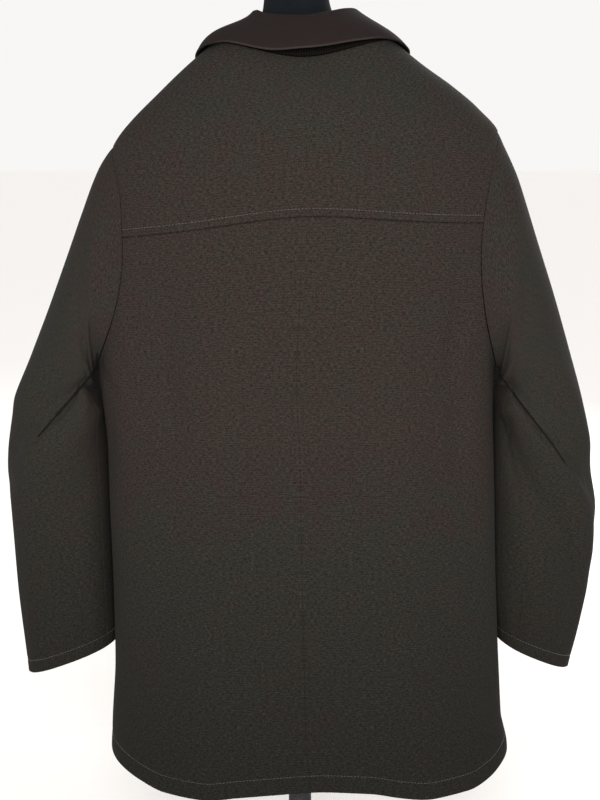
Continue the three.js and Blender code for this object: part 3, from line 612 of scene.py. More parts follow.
def body_fold(angle, height):
    """The sum of the large folds: each is a bell across its line, and fades in over the third
    of its length at either end."""
    angle, height = angle[..., None], height[..., None]
    f = BODY_FOLDS
    line = f["around"] + f["lean"] * (height - (f["low"] + f["high"]) / 2) / 100
    off = turn_between(angle, line) / f["width"]
    end = (f["high"] - f["low"]) / 3
    along = smooth((height - f["low"]) / end) * smooth((f["high"] - height) / end)
    return (f["depth"] * along * np.exp(-off * off)).sum(-1)


def body_point(angle, height):
    """A point on the coat's body: its plain ring, moved out by the folds."""
    fold = body_fold(angle, height)[..., None]
    return plain_body(angle, height) + plain_body_normal(angle, height) * fold


def lapped_point(angle, height):
    """The left front's surface, which stands off the right front near the centre."""
    off = LAP * smooth((LAP_START - angle) / (LAP_START - LAP_FULL))[..., None]
    return body_point(angle, height) + plain_body_normal(angle, height) * off


def armhole(turn, out):
    """A place on the armhole, an ellipse in angle and height. turn counts down the back from the
    shoulder and on up the front, and out is how far the place lies outside the seam."""
    c, s = np.cos(np.radians(turn)), np.sin(np.radians(turn))
    height = (SHOULDER + UNDERARM) / 2 + ((SHOULDER - UNDERARM) / 2 + out) * c
    half = through(BODY, "height", "half", height)
    return (ARMHOLE_REACH + np.degrees(out / half)) * s, height


ARMHOLE_TURNS = np.linspace(0, 180, 61)
edge_angle, edge_height = armhole(ARMHOLE_TURNS, ARMHOLE_SEAM)


def side_edge(height):
    """The angle at which a body piece starts: half the seam's space off the side or shoulder
    seam, or the armhole's edge where that is further round."""
    gap = np.degrees(SEAM / 2 / through(BODY, "height", "half", height))
    inside = np.interp(height, edge_height[::-1], edge_angle[::-1], left=0, right=0)
    return np.maximum(gap, inside)


def hem_place(angle, height):
    """The height of a place, where the lowest rows follow the hem's line."""
    share = np.interp(height, HEM_SHARES["height"], HEM_SHARES["share"])
    return height + share * (through(HEM_LINE, "around", "height", turn_between(angle, 0)) - HEM)


# Creases that the weight of the cloth and the wearing have left: each is a line from one place
# (around, height) to another with a trough or a ridge across it. No two are alike.
BODY_CREASES = table("around0 height0 around1 height1 width depth", [
    [151, 740, 153, 480, 8, -2.4],
    [146, 700, 149, 520, 9, 1.2],
    [36, 705, 39, 545, 8, -2.2],
    [12, 622, 20, 586, 6, -2.6],
    [15, 590, 13, 480, 8, -2.0],
    [26, 700, 33, 610, 9, -1.8],
    [31, 672, 44, 596, 12, 1.2],
    [22, 640, 30, 560, 8, -1.6],
    [154, 706, 147, 590, 9, -1.8],
    [148, 650, 138, 560, 12, 1.2],
    [160, 640, 152, 550, 8, -1.4],
    [74, 905, 60, 850, 13, 0.9],
    [108, 900, 121, 848, 13, 0.8],
    [88, 700, 92, 500, 18, -0.8],
    [66, 560, 63, 380, 14, -1.1],
    [112, 600, 117, 420, 15, -1.0],
    [40, 420, 33, 240, 11, -1.9],
    [140, 400, 148, 260, 11, -1.9],
    [76, 330, 73, 180, 15, -1.3],
    [104, 300, 108, 170, 14, -1.2],
    [-24, 690, -33, 600, 9, -1.7],
    [-154, 700, -146, 605, 9, -1.9],
    [-44, 860, -56, 790, 13, 1.0],
    [-132, 862, -122, 796, 12, 1.1],
    [-52, 560, -57, 390, 13, -1.2],
    [-127, 540, -122, 400, 13, -1.1],
    [-30, 330, -26, 190, 12, -1.5],
    [-150, 350, -155, 200, 12, -1.6],
])
CREASE_END = 0.35  # a crease's depth at its ends, against its middle
# Long low swells over all the cloth, so that no part is perfectly even.
SWELLS = table("across up phase height", [
    [0.021, 0.008, 0.4, 0.35], [0.013, -0.017, 2.1, 0.45], [0.034, 0.019, 4.4, 0.22],
    [-0.027, 0.031, 1.2, 0.25], [0.052, -0.011, 3.3, 0.14], [0.009, 0.047, 5.2, 0.18],
])


def beside_lines(rows, keys, u, v, scale=1):
    """Where places (u, v) lie against each line of a table, from one place to another: the share
    of the line walked, and the distance off it in its own widths. scale turns u into mm."""
    u0, v0, u1, v1 = (rows[key] for key in keys)
    du, dv = turn_between(u1, u0) * scale, v1 - v0
    pu, pv = turn_between(u[..., None], u0) * scale, v[..., None] - v0
    share = (pu * du + pv * dv) / (du * du + dv * dv)
    t = np.clip(share, 0, 1)
    return share, np.hypot(pu - t * du, pv - t * dv) / rows["width"]


def creases(rows, keys, u, v, scale):
    """The sum of a table's creases: each is a bell across its line, soft at its ends. scale
    turns u into mm, and widths are in mm."""
    share, off = beside_lines(rows, keys, u, v, scale)
    ends = CREASE_END + (1 - CREASE_END) * np.sin(np.pi * np.clip(share, 0.02, 0.98)) ** 0.7
    return (rows["depth"] * ends * np.exp(-off * off)).sum(-1)


def swell(u, v):
    """The sum of a few long waves, in mm, at places (u, v) in mm."""
    w = SWELLS
    return (w["height"] * np.sin(w["across"] * u[..., None] + w["up"] * v[..., None]
                                 + w["phase"])).sum(-1)


def body_detail(angle, height):
    """Small creases and swells of the body's cloth."""
    keys = ("around0", "height0", "around1", "height1")
    return (creases(BODY_CREASES, keys, angle, height, BODY_DEGREE)
            + swell(angle * BODY_DEGREE, height))


def spaced(start, stop, step):
    """Even steps of about this size, with both ends."""
    return np.linspace(start, stop, max(2, round(abs(stop - start) / step) + 1))


def edged(count):
    """Shares from 0 to 1 that crowd together at the ends, for the turn of a seam edge."""
    close = np.array([0.0, 0.12, 0.3]) / count
    return np.concatenate([close, np.linspace(0, 1, count + 1)[1:-1], 1 - close[::-1]])


skirt_rows = np.concatenate([[HEM, HEM + 1, HEM + 2.5], spaced(HEM + 5, UNDERARM - 4, 4.5)])
armhole_rows = np.sort(edge_height)
shoulder_rows = np.concatenate([spaced(SHOULDER + 4, NECK - 4, 4), [NECK - 2, NECK - 0.8, NECK]])
below_yoke = np.concatenate([
    skirt_rows, armhole_rows[armhole_rows < YOKE_SEAM - 6],
    [YOKE_SEAM - 4, YOKE_SEAM - 2, YOKE_SEAM - 0.9, YOKE_SEAM - SEAM / 2]])
above_yoke = np.concatenate([
    YOKE_SEAM + np.array([SEAM / 2, 0.9, 2, 3.5, 5, 6.5, 7.5, 8.5, 9.5, 11, 13]),
    armhole_rows[armhole_rows > YOKE_SEAM + 16], shoulder_rows])
front_rows = np.concatenate([skirt_rows, armhole_rows, shoulder_rows])


def body_grid(heights, first, last, columns):
    """Angles and heights of a body piece, its columns spaced from one edge to the other."""
    share = edged(columns)[None, :]
    angle = first[:, None] * (1 - share) + last[:, None] * share
    return angle, hem_place(angle, np.broadcast_to(heights[:, None], angle.shape))


def facing_of(angle):
    """Roughly outward directions at angles round the body, to settle which side is out."""
    return np.stack([np.cos(np.radians(angle)), np.sin(np.radians(angle)),
                     np.zeros_like(angle)], axis=-1)


threads = []  # the stitches of every piece, made into one mesh near the end
STITCH_RINGS, STITCH_SIDES = 6, 6
STITCH_TAPER = 0.92  # how much of its section a stitch loses at its tips
STITCH_ARCH = 0.28  # how high its middle lies over its ends
STITCH_WIDE, STITCH_HIGH = 1.1, 0.8  # its section, against its thickness


def line_at(points, normals, walked, at):
    """The line across a grid's columns at a walked distance up each: its points and normals."""
    i = np.clip((walked < at).sum(0) - 1, 0, len(points) - 2)
    j = np.arange(points.shape[1])
    span = walked[i + 1, j] - walked[i, j]
    t = ((at - walked[i, j]) / span)[:, None]
    line = points[i, j] * (1 - t) + points[i + 1, j] * t
    return line, normals[i, j] * (1 - t) + normals[i + 1, j] * t


def sew(line, normal, pitch=3.9, length=3.1, thick=0.32, sink=0.05, rock=0.5):
    """Adds a row of stitches along a line: each is a small six-sided spindle that dips into the
    cloth at both ends, and every other one is turned a little."""
    step = np.linalg.norm(np.diff(line, axis=0), axis=-1)
    walked = np.concatenate([[0], np.cumsum(step)])
    count = max(2, int(walked[-1] / pitch))
    centres = (np.arange(count) + 0.5) * walked[-1] / count

    def read(values, at):
        return np.stack([np.interp(at, walked, values[:, k]) for k in range(3)], axis=-1)

    # Every array's axes are the stitch, the ring along it, the point round the ring, and x y z.
    middle, up = read(line, centres), unit(read(normal, centres))
    ahead = unit(read(line, centres + 0.4) - read(line, centres - 0.4))
    middle, up, ahead = (values[:, None, None, :] for values in (middle, up, ahead))
    place = np.linspace(-1, 1, STITCH_RINGS)[None, :, None, None]
    spin = (np.arange(STITCH_SIDES) * 2 * np.pi / STITCH_SIDES)[None, None, :, None]
    swing = (rock * thick * np.where(np.arange(count) % 2 == 0, 1, -1))[:, None, None, None]
    bulge = thick * np.sqrt(np.clip(1 - place ** 2 * STITCH_TAPER, 0, 1))
    arch = STITCH_ARCH * (1 - place ** 2) - sink
    lift = (arch + bulge * np.sin(spin) * STITCH_HIGH) * up
    wide = (bulge * np.cos(spin) * STITCH_WIDE + swing * place) * np.cross(up, ahead)
    threads.append(middle + place * (length / 2) * ahead + lift + wide)


def body_piece(name, heights, first, last, columns, surface, seams, rim, extra):
    """One cut piece of the body. seams says how deep each of its four edges (first row, last row,
    first column, last column) turns in at a seam, and extra adds its own relief from its edge
    distances."""
    angle, height = body_grid(heights, first, last, columns)
    points = surface(angle, height)
    distances = edge_distances(points)
    from_u, to_u, from_v, to_v = distances
    detail = body_detail(angle, height)
    relief = extra(*distances)
    for distance, seam in zip((from_v, to_v, from_u, to_u), seams):
        if seam:
            detail = detail * smooth(distance / SEAM_FADE)
            relief = relief + turned_in(distance, seam, SEAM_TURN * seam)
    # Where the form carries the coat, the inside stays plain.
    hung = smooth((SEAT_FROM - height) / HUNG_FADE)
    relief = relief + detail * (1 - hung)
    across = from_u - from_u[:, columns // 2, None] if name == "back_yoke_wool" else to_u
    uv = np.stack([across, height], axis=-1)
    piece, outer, normal = cloth_wall(name, points, facing_of(angle), detail * hung, relief, rim,
                                      uv)
    return piece, outer, normal, distances


# How far each row of topstitching runs from its edge.
HEM_STITCH = 20
YOKE_STITCH = 8.5
FRONT_STITCH = 7
HEM_LIFT = 0.35
YOKE_LIFT = 0.9
CENTRE_GAP = np.degrees(0.07 / 140)  # half the centre seam's space, 140 mm from the middle


def hem_relief(from_v):
    """The hem's furrow of stitching, and its turned-up cloth, which lifts it slightly."""
    furrow = stitched(from_v, HEM_STITCH, depth=0.6, width=2.2)
    return furrow + HEM_LIFT * smooth(1 - from_v / HEM_STITCH)


def back_relief(from_u, to_u, from_v, to_v):
    """The hem's stitching, and the ridge of the seam allowance beside the centre seam."""
    return hem_relief(from_v) + 0.3 * bell(to_u, at=7, width=5)


for side, node in ((1, "back_left"), (-1, "back_right")):
    first = side_edge(below_yoke)
    last = np.full_like(first, 90 - CENTRE_GAP)
    if side < 0:
        first, last = 180 - first, 180 - last
    back, outer, normal, walked = body_piece(
        node + "_wool", below_yoke, first, last, BACK_COLUMNS, body_point, (0, 1.2, 0.7, 0.2),
        (1.0, 0, 0.14, 0.14), back_relief)
    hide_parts(node)
    sew(*line_at(outer, normal, walked[2], HEM_STITCH))


def yoke_relief(from_u, to_u, from_v, to_v):
    """The yoke's edge stands proud of the backs below it, held down by its stitching."""
    proud = YOKE_LIFT * smooth(1 - from_v / 12)
    pucker = 0.14 * np.sin(from_u / 2.3) * bell(from_v, at=5, width=5)
    return proud + pucker + stitched(from_v, YOKE_STITCH, depth=0.8, width=1.6)


edge = side_edge(above_yoke)
yoke, outer, normal, walked = body_piece(
    "back_yoke_wool", above_yoke, edge, 180 - edge, YOKE_COLUMNS, body_point,
    (0.7, 1.2, 0.7, 0.7), (0.3, 0, 0.14, 0.14), yoke_relief)
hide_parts("back_yoke")
sew(*line_at(outer, normal, walked[2], YOKE_STITCH))


def front_angle(x, height):
    """The angle of the place on the body's front that lies at x across, from its superellipse."""
    half, depth, power, shift = (through(BODY, "height", name, height)
                                 for name in ("half", "front", "square", "shift"))
    x = x - shift
    share = (1 - np.abs(x / half) ** power) ** (1 / power)
    return -np.degrees(np.arctan2(depth * share, x))


def front_relief(from_u, to_u, from_v, to_v):
    """The stitching of the hem and of the front's edge."""
    return hem_relief(from_v) + stitched(to_u, FRONT_STITCH, depth=0.5, width=1.5)


for side, node in ((1, "front_left"), (-1, "front_right")):
    edge = side_edge(front_rows)
    first = -edge if side > 0 else edge - 180
    last = front_angle(-side * LAP_WIDTH, front_rows)
    front, outer, normal, walked = body_piece(
        node + "_wool", front_rows, first, last, FRONT_COLUMNS,
        lapped_point if side > 0 else body_point, (0, 1.2, 0.7, 0), (1.0, 0, 0.14, 1.0),
        front_relief)
    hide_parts(node)
    sew(*line_at(outer, normal, walked[2], HEM_STITCH))
    flip = (1, 0, 2)
    sew(*line_at(outer.transpose(flip)[::-1], normal.transpose(flip)[::-1],
                 walked[1].T[::-1], FRONT_STITCH))

# ---- sleeves: upper and under -----------------------------------------------------------------
# Each sleeve is cut in two, an upper and an under piece, and set into its armhole. Both hang
# slightly bent, with a sharp break at the elbow.

SLEEVE_LENGTH = 660
SLEEVE_BLEND = 60
SLEEVE_SQUARE = 0.18
SLEEVE_YAW = 12
SLEEVE_COLUMNS = "along outX outZ inX inZ back front forward"
LEFT_SLEEVE = table(SLEEVE_COLUMNS, [
    [0, 216, 877, 242, 615, 80, 82, 0],
    [45, 237, 850, 244, 611, 81, 83, 5],
    [95, 258, 802, 245, 604, 82, 81, 11],
    [150, 280, 746, 244.5, 594, 83, 79, 17],
    [210, 303, 688, 242.5, 581, 82, 77, 23],
    [270, 327, 629, 239, 559, 79, 75, 28],
    [330, 347, 574, 235.5, 525, 74, 73, 32],
    [400, 362, 504, 233, 479, 69, 69, 36],
    [470, 359, 434, 231.5, 432, 64, 64, 37],
    [560, 355, 340, 230.5, 352, 57, 58, 38],
    [660, 344, 222, 229, 270, 51, 52, 39],
])
RIGHT_SLEEVE = table(SLEEVE_COLUMNS, [
    [0, 236, 893, 234, 615, 80, 82, 0],
    [45, 254, 851, 238, 611, 81, 83, 5],
    [95, 273, 799, 237, 604, 82, 81, 11],
    [150, 292, 744, 236.5, 594, 83, 79, 19],
    [210, 311, 687, 236, 581, 82, 77, 25],
    [270, 329, 631, 234.8, 559, 79, 75, 30],
    [330, 345, 573, 234.5, 525, 74, 73, 32],
    [400, 359, 500, 233.5, 479, 69, 69, 36],
    [470, 368, 428, 234, 430, 64, 64, 37],
    [560, 362, 336, 235, 350, 57, 58, 38],
    [660, 340, 229, 243, 274, 51, 52, 39],
])
FOLD_COLUMNS = "along0 around0 along1 around1 width depth"
SLEEVE_KEYS = ("around0", "along0", "around1", "along1")
LEFT_SLEEVE_FOLDS = table(FOLD_COLUMNS, [
    [180, 150, 385, 36, 20, -9],
    [150, 115, 330, 36, 26, 6],
    [265, 150, 420, 55, 22, 5],
    [420, 110, 600, 80, 24, -4],
    [330, -60, 470, -110, 28, -5],
])
RIGHT_SLEEVE_FOLDS = table(FOLD_COLUMNS, [
    [180, 150, 425, 30, 20, -8],
    [150, 118, 380, 34, 26, 5],
    [300, 145, 590, 45, 24, -7],
    [270, 125, 520, 40, 22, 4],
    [330, -60, 470, -110, 28, -5],
])
# Smaller creases, in the same columns but with widths in mm.
LEFT_SLEEVE_CREASES = table(FOLD_COLUMNS, [
    [120, 158, 164, 141, 5, -1.0],
    [72, 114, 100, 152, 10, 2.8],
    [148, 143, 268, 109, 2.6, -4.5],
    [260, 111, 366, 72, 2.6, -4.5],
    [180, 124, 330, 66, 9, 2.8],
    [190, 150, 300, 118, 8, 1.6],
    [60, 60, 150, 95, 13, -1.6],
    [80, 95, 180, 130, 11, -1.4],
    [300, 110, 345, 60, 8, -1.4],
    [410, 60, 440, 15, 9, -1.5],
    [430, 120, 500, 60, 11, -1.2],
    [520, 100, 640, 118, 12, -1.4],
    [540, 40, 640, 30, 12, -1.1],
    [60, -50, 160, -95, 12, -1.6],
    [180, -150, 300, -60, 9, -2.4],
    [310, -140, 400, -70, 10, -2.0],
    [480, -60, 600, -80, 12, -1.3],
])
RIGHT_SLEEVE_CREASES = table(FOLD_COLUMNS, [
    [100, 166, 142, 157, 5, -1.0],
    [62, 116, 86, 154, 10, 2.8],
    [128, 159, 240, 131, 2.6, -4.0],
    [233, 133, 302, 103, 2.6, -4.5],
    [296, 106, 364, 84, 2.8, -4.5],
    [354, 88, 424, 44, 8, -4.5],
    [200, 124, 350, 74, 10, 2.6],
    [284, 161, 430, 116, 8, -3.0],
    [55, 62, 150, 98, 13, -1.5],
    [85, 96, 190, 128, 11, -1.6],
    [320, 140, 560, 52, 10, -2.2],
    [345, 90, 400, 50, 9, -1.3],
    [450, 30, 500, 8, 10, -1.2],
    [540, 110, 650, 122, 12, -1.4],
    [60, -54, 165, -92, 12, -1.5],
    [190, -150, 310, -65, 9, -2.5],
    [320, -138, 420, -75, 10, -1.8],
    [500, -50, 610, -70, 12, -1.2],
])
CUFF_STITCH = 15
SLEEVE_DEGREE = 1.35  # mm of cloth to a degree round a sleeve
# Rows down a sleeve and turns round its two pieces, close together where the elbow breaks.
SLEEVE_ROWS = np.concatenate([
    [0, 0.8, 2, 4, 7], spaced(10, 146, 4), spaced(147.5, 400, 1.35),
    spaced(404, SLEEVE_LENGTH - 5, 4), [SLEEVE_LENGTH - 2.5, SLEEVE_LENGTH - 1, SLEEVE_LENGTH]])
UPPER_TURNS = np.concatenate([
    [-126, -125.7, -125.2], spaced(-124, 34, 3.2), spaced(35, 143, 1.25), [143.4, 143.8, 144]])
UNDER_TURNS = np.concatenate([
    [144, 144.3, 144.8], spaced(146, 232, 2.6), [233.2, 233.7, 234]])


def sleeve_fold(folds, around, along):
    """The sum of a sleeve's large folds, each a bell across its line."""
    _, off = beside_lines(folds, SLEEVE_KEYS, around, along)
    return (folds["depth"] * np.exp(-off * off)).sum(-1)


def sleeve_surface(side, rows, folds):
    """A sleeve's surface point(around, along): tilted oval rings whose outer and inner points
    come from the table, drawn to the armhole over the first stretch, with the large folds."""
    def ring(around, along):
        row = {name: through(rows, "along", name, along) for name in rows if name != "along"}
        c, s = np.cos(np.radians(around)), np.sin(np.radians(around))
        power = 1 - SLEEVE_SQUARE * smooth(along / SLEEVE_BLEND / 2)
        c, s = np.sign(c) * np.abs(c) ** power, np.sign(s) * np.abs(s) ** power
        x = (row["outX"] + row["inX"]) / 2 + (row["outX"] - row["inX"]) / 2 * c
        z = (row["outZ"] + row["inZ"]) / 2 + (row["outZ"] - row["inZ"]) / 2 * c
        deep = np.where(s > 0, row["back"], row["front"])
        yaw = SLEEVE_YAW * smooth(along / SLEEVE_BLEND / 2)
        return np.stack([side * x, deep * s - row["forward"] - yaw * c, z], axis=-1)

    def plain(around, along):
        angle, height = armhole(around, 0)
        angle = angle if side > 0 else 180 - angle
        off = body_point(angle, height) - ring(around, np.zeros_like(along))
        return ring(around, along) + off * (1 - smooth(along / SLEEVE_BLEND))[..., None]

    plain_normal = normal_of(plain, -side)

    def point(around, along):
        fade = smooth((along - 20) / 90)
        fold = sleeve_fold(folds, around, along) * fade
        return plain(around, along) + plain_normal(around, along) * fold[..., None]

    return point


def sleeve_piece(name, point, side, small, turns, axis):
    """One cut piece of a sleeve over these turns round it, with its creases, its seams turned in
    and its hem stitched. axis is the middle of each row's ring."""
    around, along = np.meshgrid(turns, SLEEVE_ROWS)
    near_first = np.clip(1 - (turns - turns[0]) / 20, 0, 1)[None, :]
    near_last = np.clip(1 - (turns[-1] - turns) / 20, 0, 1)[None, :]
    # Half the seam's space at either edge, as an angle, square to the line of the seam.
    for column, near in ((0, near_first), (-1, -near_last)):
        turn, row = around[:, column], along[:, column]
        above = np.minimum(row, SLEEVE_LENGTH - 1)
        across = point(turn + 0.5, row) - point(turn - 0.5, row)
        down = unit(point(turn, above + 0.5) - point(turn, above))
        gap = SEAM / 2 / np.linalg.norm(np.cross(across, down), axis=-1)
        around = around + gap[:, None] * near
    points = point(around, along)
    from_u, to_u, from_v, to_v = edge_distances(points)
    detail = creases(small, SLEEVE_KEYS, around, along, SLEEVE_DEGREE)
    detail = detail * smooth((along - 15) / 50)
    waves = 0.8 * swell(around * SLEEVE_DEGREE + 40 * side, along)
    detail = (detail * smooth(to_v / 25) + waves) * smooth(from_v / 14)
    relief = turned_in(from_v, 0.7, 1.6) + turned_in(from_u, 0.6, 1.2) + turned_in(to_u, 0.6, 1.2)
    relief = relief + 0.4 * bell(from_v, at=6, width=6)
    relief = relief + stitched(to_v, CUFF_STITCH, depth=0.6, width=2)
    uv = np.stack([from_u - from_u[:, -1:] / 2, SLEEVE_LENGTH - along], axis=-1)
    piece, outer, normal = cloth_wall(name, points, points - axis, detail, relief,
                                      (0.3, 1.0, 0, 0), uv)
    sew(*line_at(outer[::-1], normal[::-1], to_v[::-1], CUFF_STITCH))
    return piece


for side, label, rows, folds, small in (
        (1, "left", LEFT_SLEEVE, LEFT_SLEEVE_FOLDS, LEFT_SLEEVE_CREASES),
        (-1, "right", RIGHT_SLEEVE, RIGHT_SLEEVE_FOLDS, RIGHT_SLEEVE_CREASES)):
    surface = sleeve_surface(side, rows, folds)
    rings = surface(*np.meshgrid(np.arange(0, 360, 15.0), SLEEVE_ROWS))
    axis = rings.mean(axis=1, keepdims=True)
    upper = sleeve_piece(f"sleeve_{label}_upper_wool", surface, side, small, UPPER_TURNS, axis)
    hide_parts(f"sleeve_{label}_upper")
    under = sleeve_piece(f"sleeve_{label}_under_wool", surface, side, small, UNDER_TURNS, axis)
    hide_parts(f"sleeve_{label}_under")

# ---- collar: ribbed stand and brown fall ------------------------------------------------------
# The stand is a dark ribbed band that rises from the neck seam. The fall is smooth brown cloth
# that turns over it and spreads to the shoulders, with a paler bound edge.

COLLAR_CLOTH = 2.4
NECK_GAP = 1  # the stand starts this far above the neck seam
COLLAR_POINT = 0.9  # how far round the fall's edge reaches in front, against its roll line
COLLAR_REACH = 6  # tenths of the way from the shoulder to the front's edge
ROLL_SPACE = 1.3
FALL_STITCH = 5.5
RIB_PITCH = 2.9
RIB_HEIGHT = 0.9
STAND_DARK = (0.0016, 0.0012, 0.0010, 1)
STAND_LIGHT = (0.0048, 0.0031, 0.0020, 1)
# painted shade in the furrows between the stand's ribs
STAND_FURROW_SHADE = (0.0006, 0.0005, 0.0004, 1)
FALL_BROWN = (0.0098, 0.0062, 0.0061, 1)
FALL_DARK = (0.0068, 0.0044, 0.0043, 1)
FALL_EDGE = (0.0175, 0.0135, 0.0118, 1)
COLLAR = table("around rollRadius rollHeight sag nearFull farFull edgeRing lift", [
    [-157, 61, 940, 0, 5, 9, 926, 10],
    [-137, 61, 972, 1, 4, 10, 944, 9],
    [-115, 63, 1010, 3, 2, 8, 968, 7.5],
    [-90, 62, 1030, 5, -2, 7, 986, 5],
    [-75, 60, 1031, 5, -1, 5, 994, 7],
    [-60, 57, 1030, 4, 1, 5, 999, 9],
    [-30, 53, 1025, 1, 3, 5, 1001, 16],
    [0, 52, 1021, 0, 3, 4, 999, 20],
    [30, 53, 1022, 1, 2, 5, 993, 15],
    [60, 56, 1026, 4, -1, 8, 996, 9],
    [75, 57, 1029, 6, -4, 14, 991, 7.5],
    [90, 58, 1029, 7, -6, 19, 985, 5],
    [115, 60, 1009, 4, -2, 16, 968, 7.5],
    [137, 61, 972, 1, 7, 16, 944, 12],
    [157, 61, 942, 0, 8, 14, 926, 13],
])
neck_shift = through(BODY, "height", "shift", NECK)
UP = np.array([0.0, 0.0, 1.0])


def outward(around):
    """The level direction at an angle from the centre back, to the wearer's left above 0."""
    return np.stack([np.sin(np.radians(around)), np.cos(np.radians(around)),
                     np.zeros_like(around)], axis=-1)


def section(name, around):
    """One measure of the collar at an angle from the centre back."""
    return through(COLLAR, "around", name, around)


def roll_point(around):
    """The roll line, where the collar folds over."""
    return (outward(around) * section("rollRadius", around)[..., None]
            + UP * section("rollHeight", around)[..., None] + np.array([neck_shift, 0, 0]))


def neck_point(around, height=NECK):
    """A point of the body's surface under the collar: the lapped one over the left front."""
    angle = 90 - around
    height = np.broadcast_to(np.asarray(height, float), angle.shape)
    lapped = lapped_point(np.where(around > 90, angle, 0), height)
    return np.where((around > 90)[..., None], lapped, body_point(angle, height))


neck_normal = normal_of(neck_point, -1)


def line_direction(point, around):
    """The direction of a line point(around), from a small step either way."""
    return unit(point(around + 0.5) - point(around - 0.5))


def stand_point(around, share):
    """The stand: straight from the neck seam to the roll line, hollowed by its sag."""
    share = share / 100
    seam = neck_point(around)
    rise = roll_point(around) - seam
    clear = np.linalg.norm(np.cross(rise, line_direction(neck_point, around)), axis=-1)
    hollow = unit(np.cross(np.cross(outward(around), UP), rise))
    depth = 4 * share * (1 - share) * section("sag", around)
    along = NECK_GAP / clear * (1 - share) + share
    sign = np.sign((hollow * outward(around)).sum(-1))
    return seam + rise * along[..., None] - hollow * (sign * depth)[..., None]


ARC_SHARE = 0.15
ARC_RADIUS = 1.5 * COLLAR_CLOTH + ROLL_SPACE
stand_normal = normal_of(stand_point, -1)


def fall_point(around, share):
    """The fall: an arc round the top of the stand, then a filled line to its edge."""
    share = share / 100
    edge_around = around * (1 - (1 - COLLAR_POINT) * smooth((np.abs(around) - 80) / 70))
    ring = section("edgeRing", around)
    edge = (neck_point(edge_around, ring)
            + neck_normal(edge_around, ring) * section("lift", around)[..., None])
    top = roll_point(around) - stand_normal(around, np.full_like(around, 98)) * COLLAR_CLOTH / 2
    tangent = line_direction(roll_point, around)
    up = unit(UP - tangent * tangent[..., 2:])
    across = np.cross(up, tangent)
    across = across * np.sign((across * outward(around)).sum(-1, keepdims=True))
    drop = edge - top
    steepest = np.arctan2(-(drop * up).sum(-1), (drop * across).sum(-1))
    turn = (steepest * np.minimum(1, share / ARC_SHARE))[..., None]
    facing = across * np.sin(turn) + up * np.cos(turn)
    start = top + facing * ARC_RADIUS
    t = np.clip((share - ARC_SHARE) / (1 - ARC_SHARE), 0, 1)[..., None]
    full = 3 * t * (1 - t) * ((1 - t) * section("nearFull", around)[..., None]
                              + t * section("farFull", around)[..., None])
    return start * (1 - t) + edge * t + facing * full


neck = np.array([float(NECK)])
neck_half = side_edge(neck)[0]
# The collar ends part of the way from each shoulder seam to the front's edge.
right_end, left_end = (
    90 + neck_half + (span - neck_half) * COLLAR_REACH / 10
    for span in (180 + front_angle(LAP_WIDTH, neck)[0], -front_angle(-LAP_WIDTH, neck)[0]))

ribbed, tree, shader = new_finish("ribbed_cloth", Roughness=0.95, Specular_IOR_Level=0.08)
cloth = cloth_place(tree)
furrow = add_node(tree, "ShaderNodeTexWave", {
    "Vector": cloth, "Scale": 100 * np.pi / RIB_PITCH}, bands_direction="X")
fuzz, grain = speckled(tree, cloth, 420.0)
tone = blended(tree, fuzz, STAND_DARK, STAND_LIGHT)
# Painted shade: the furrows between the ribs are painted darker.
tone = blended(tree, furrow.outputs["Fac"], tone, STAND_FURROW_SHADE)
colour_and_grain(tree, shader, tone, grain, 0.3, 0.0004)

around, height = np.meshgrid(np.linspace(-right_end, left_end, 901), np.linspace(0, 100, 15))
points = stand_point(around, height)
from_u, _, from_v, _ = edge_distances(points)
from_u = np.broadcast_to(from_u[:1], from_u.shape)
ribs = RIB_HEIGHT * (np.abs(np.cos(np.pi * from_u / RIB_PITCH)) - 0.5) * smooth(from_v / 1.5)
stand, _, _ = cloth_wall(
    "collar_stand_ribs", points, outward(around), 0 * ribs, ribs, (0, 0, 0.6, 0.6),
    np.stack([from_u, from_v], axis=-1), COLLAR_CLOTH, ribbed)
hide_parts("collar_stand")

collar_cloth, tree, shader = new_finish("collar_cloth", Roughness=0.95,
                                        Specular_IOR_Level=0.1)
cloth = cloth_place(tree)
nap, grain = speckled(tree, cloth, 110.0)
tone = blended(tree, nap, FALL_DARK, FALL_BROWN)
# The bound edge shows as a paler line across the back. Towards the shoulders it fades out as
# painted shade, where the collar turns over them away from the light.
bound_edge_and_shade = ranged(tree, parts_of(tree, cloth)[1], 0.0016, 0.0005)
beside = figured(tree, "ABSOLUTE", parts_of(tree, object_place(tree))[0])
# Painted shade: the pale edge fades out past the shoulders.
bound_edge_and_shade = figured(tree, "MULTIPLY", bound_edge_and_shade, ranged(tree, beside, 0.105, 0.075))
colour_and_grain(tree, shader, blended(tree, bound_edge_and_shade, tone, FALL_EDGE), grain, 0.25, 0.0004)

share = np.concatenate([np.linspace(0, 15, 9)[:-1], np.linspace(15, 96, 26),
                        [97.5, 98.6, 99.4, 100]])
around, height = np.meshgrid(np.linspace(-right_end, left_end, 220), share)
points = fall_point(around, height)
from_u, _, from_v, to_v = edge_distances(points)
waves = 0.5 * swell(around * 1.4 + 90, height * 0.8) * smooth(to_v / 6) * smooth(from_v / 12)
relief = waves + stitched(to_v, FALL_STITCH, depth=0.3, width=1.2)
fall, _, _ = cloth_wall(
    "collar_fall_cloth", points, outward(around) + UP * 0.3, 0 * relief, relief,
    (0.8, 0.9, 0.9, 0.9), np.stack([from_u, to_v], axis=-1), COLLAR_CLOTH, collar_cloth)
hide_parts("collar_fall")

# ---- buttons and topstitching -----------------------------------------------------------------
# Five horn buttons with four holes close the left front, each in a bound buttonhole. All edges
# are topstitched in thread of the cloth's own colour.

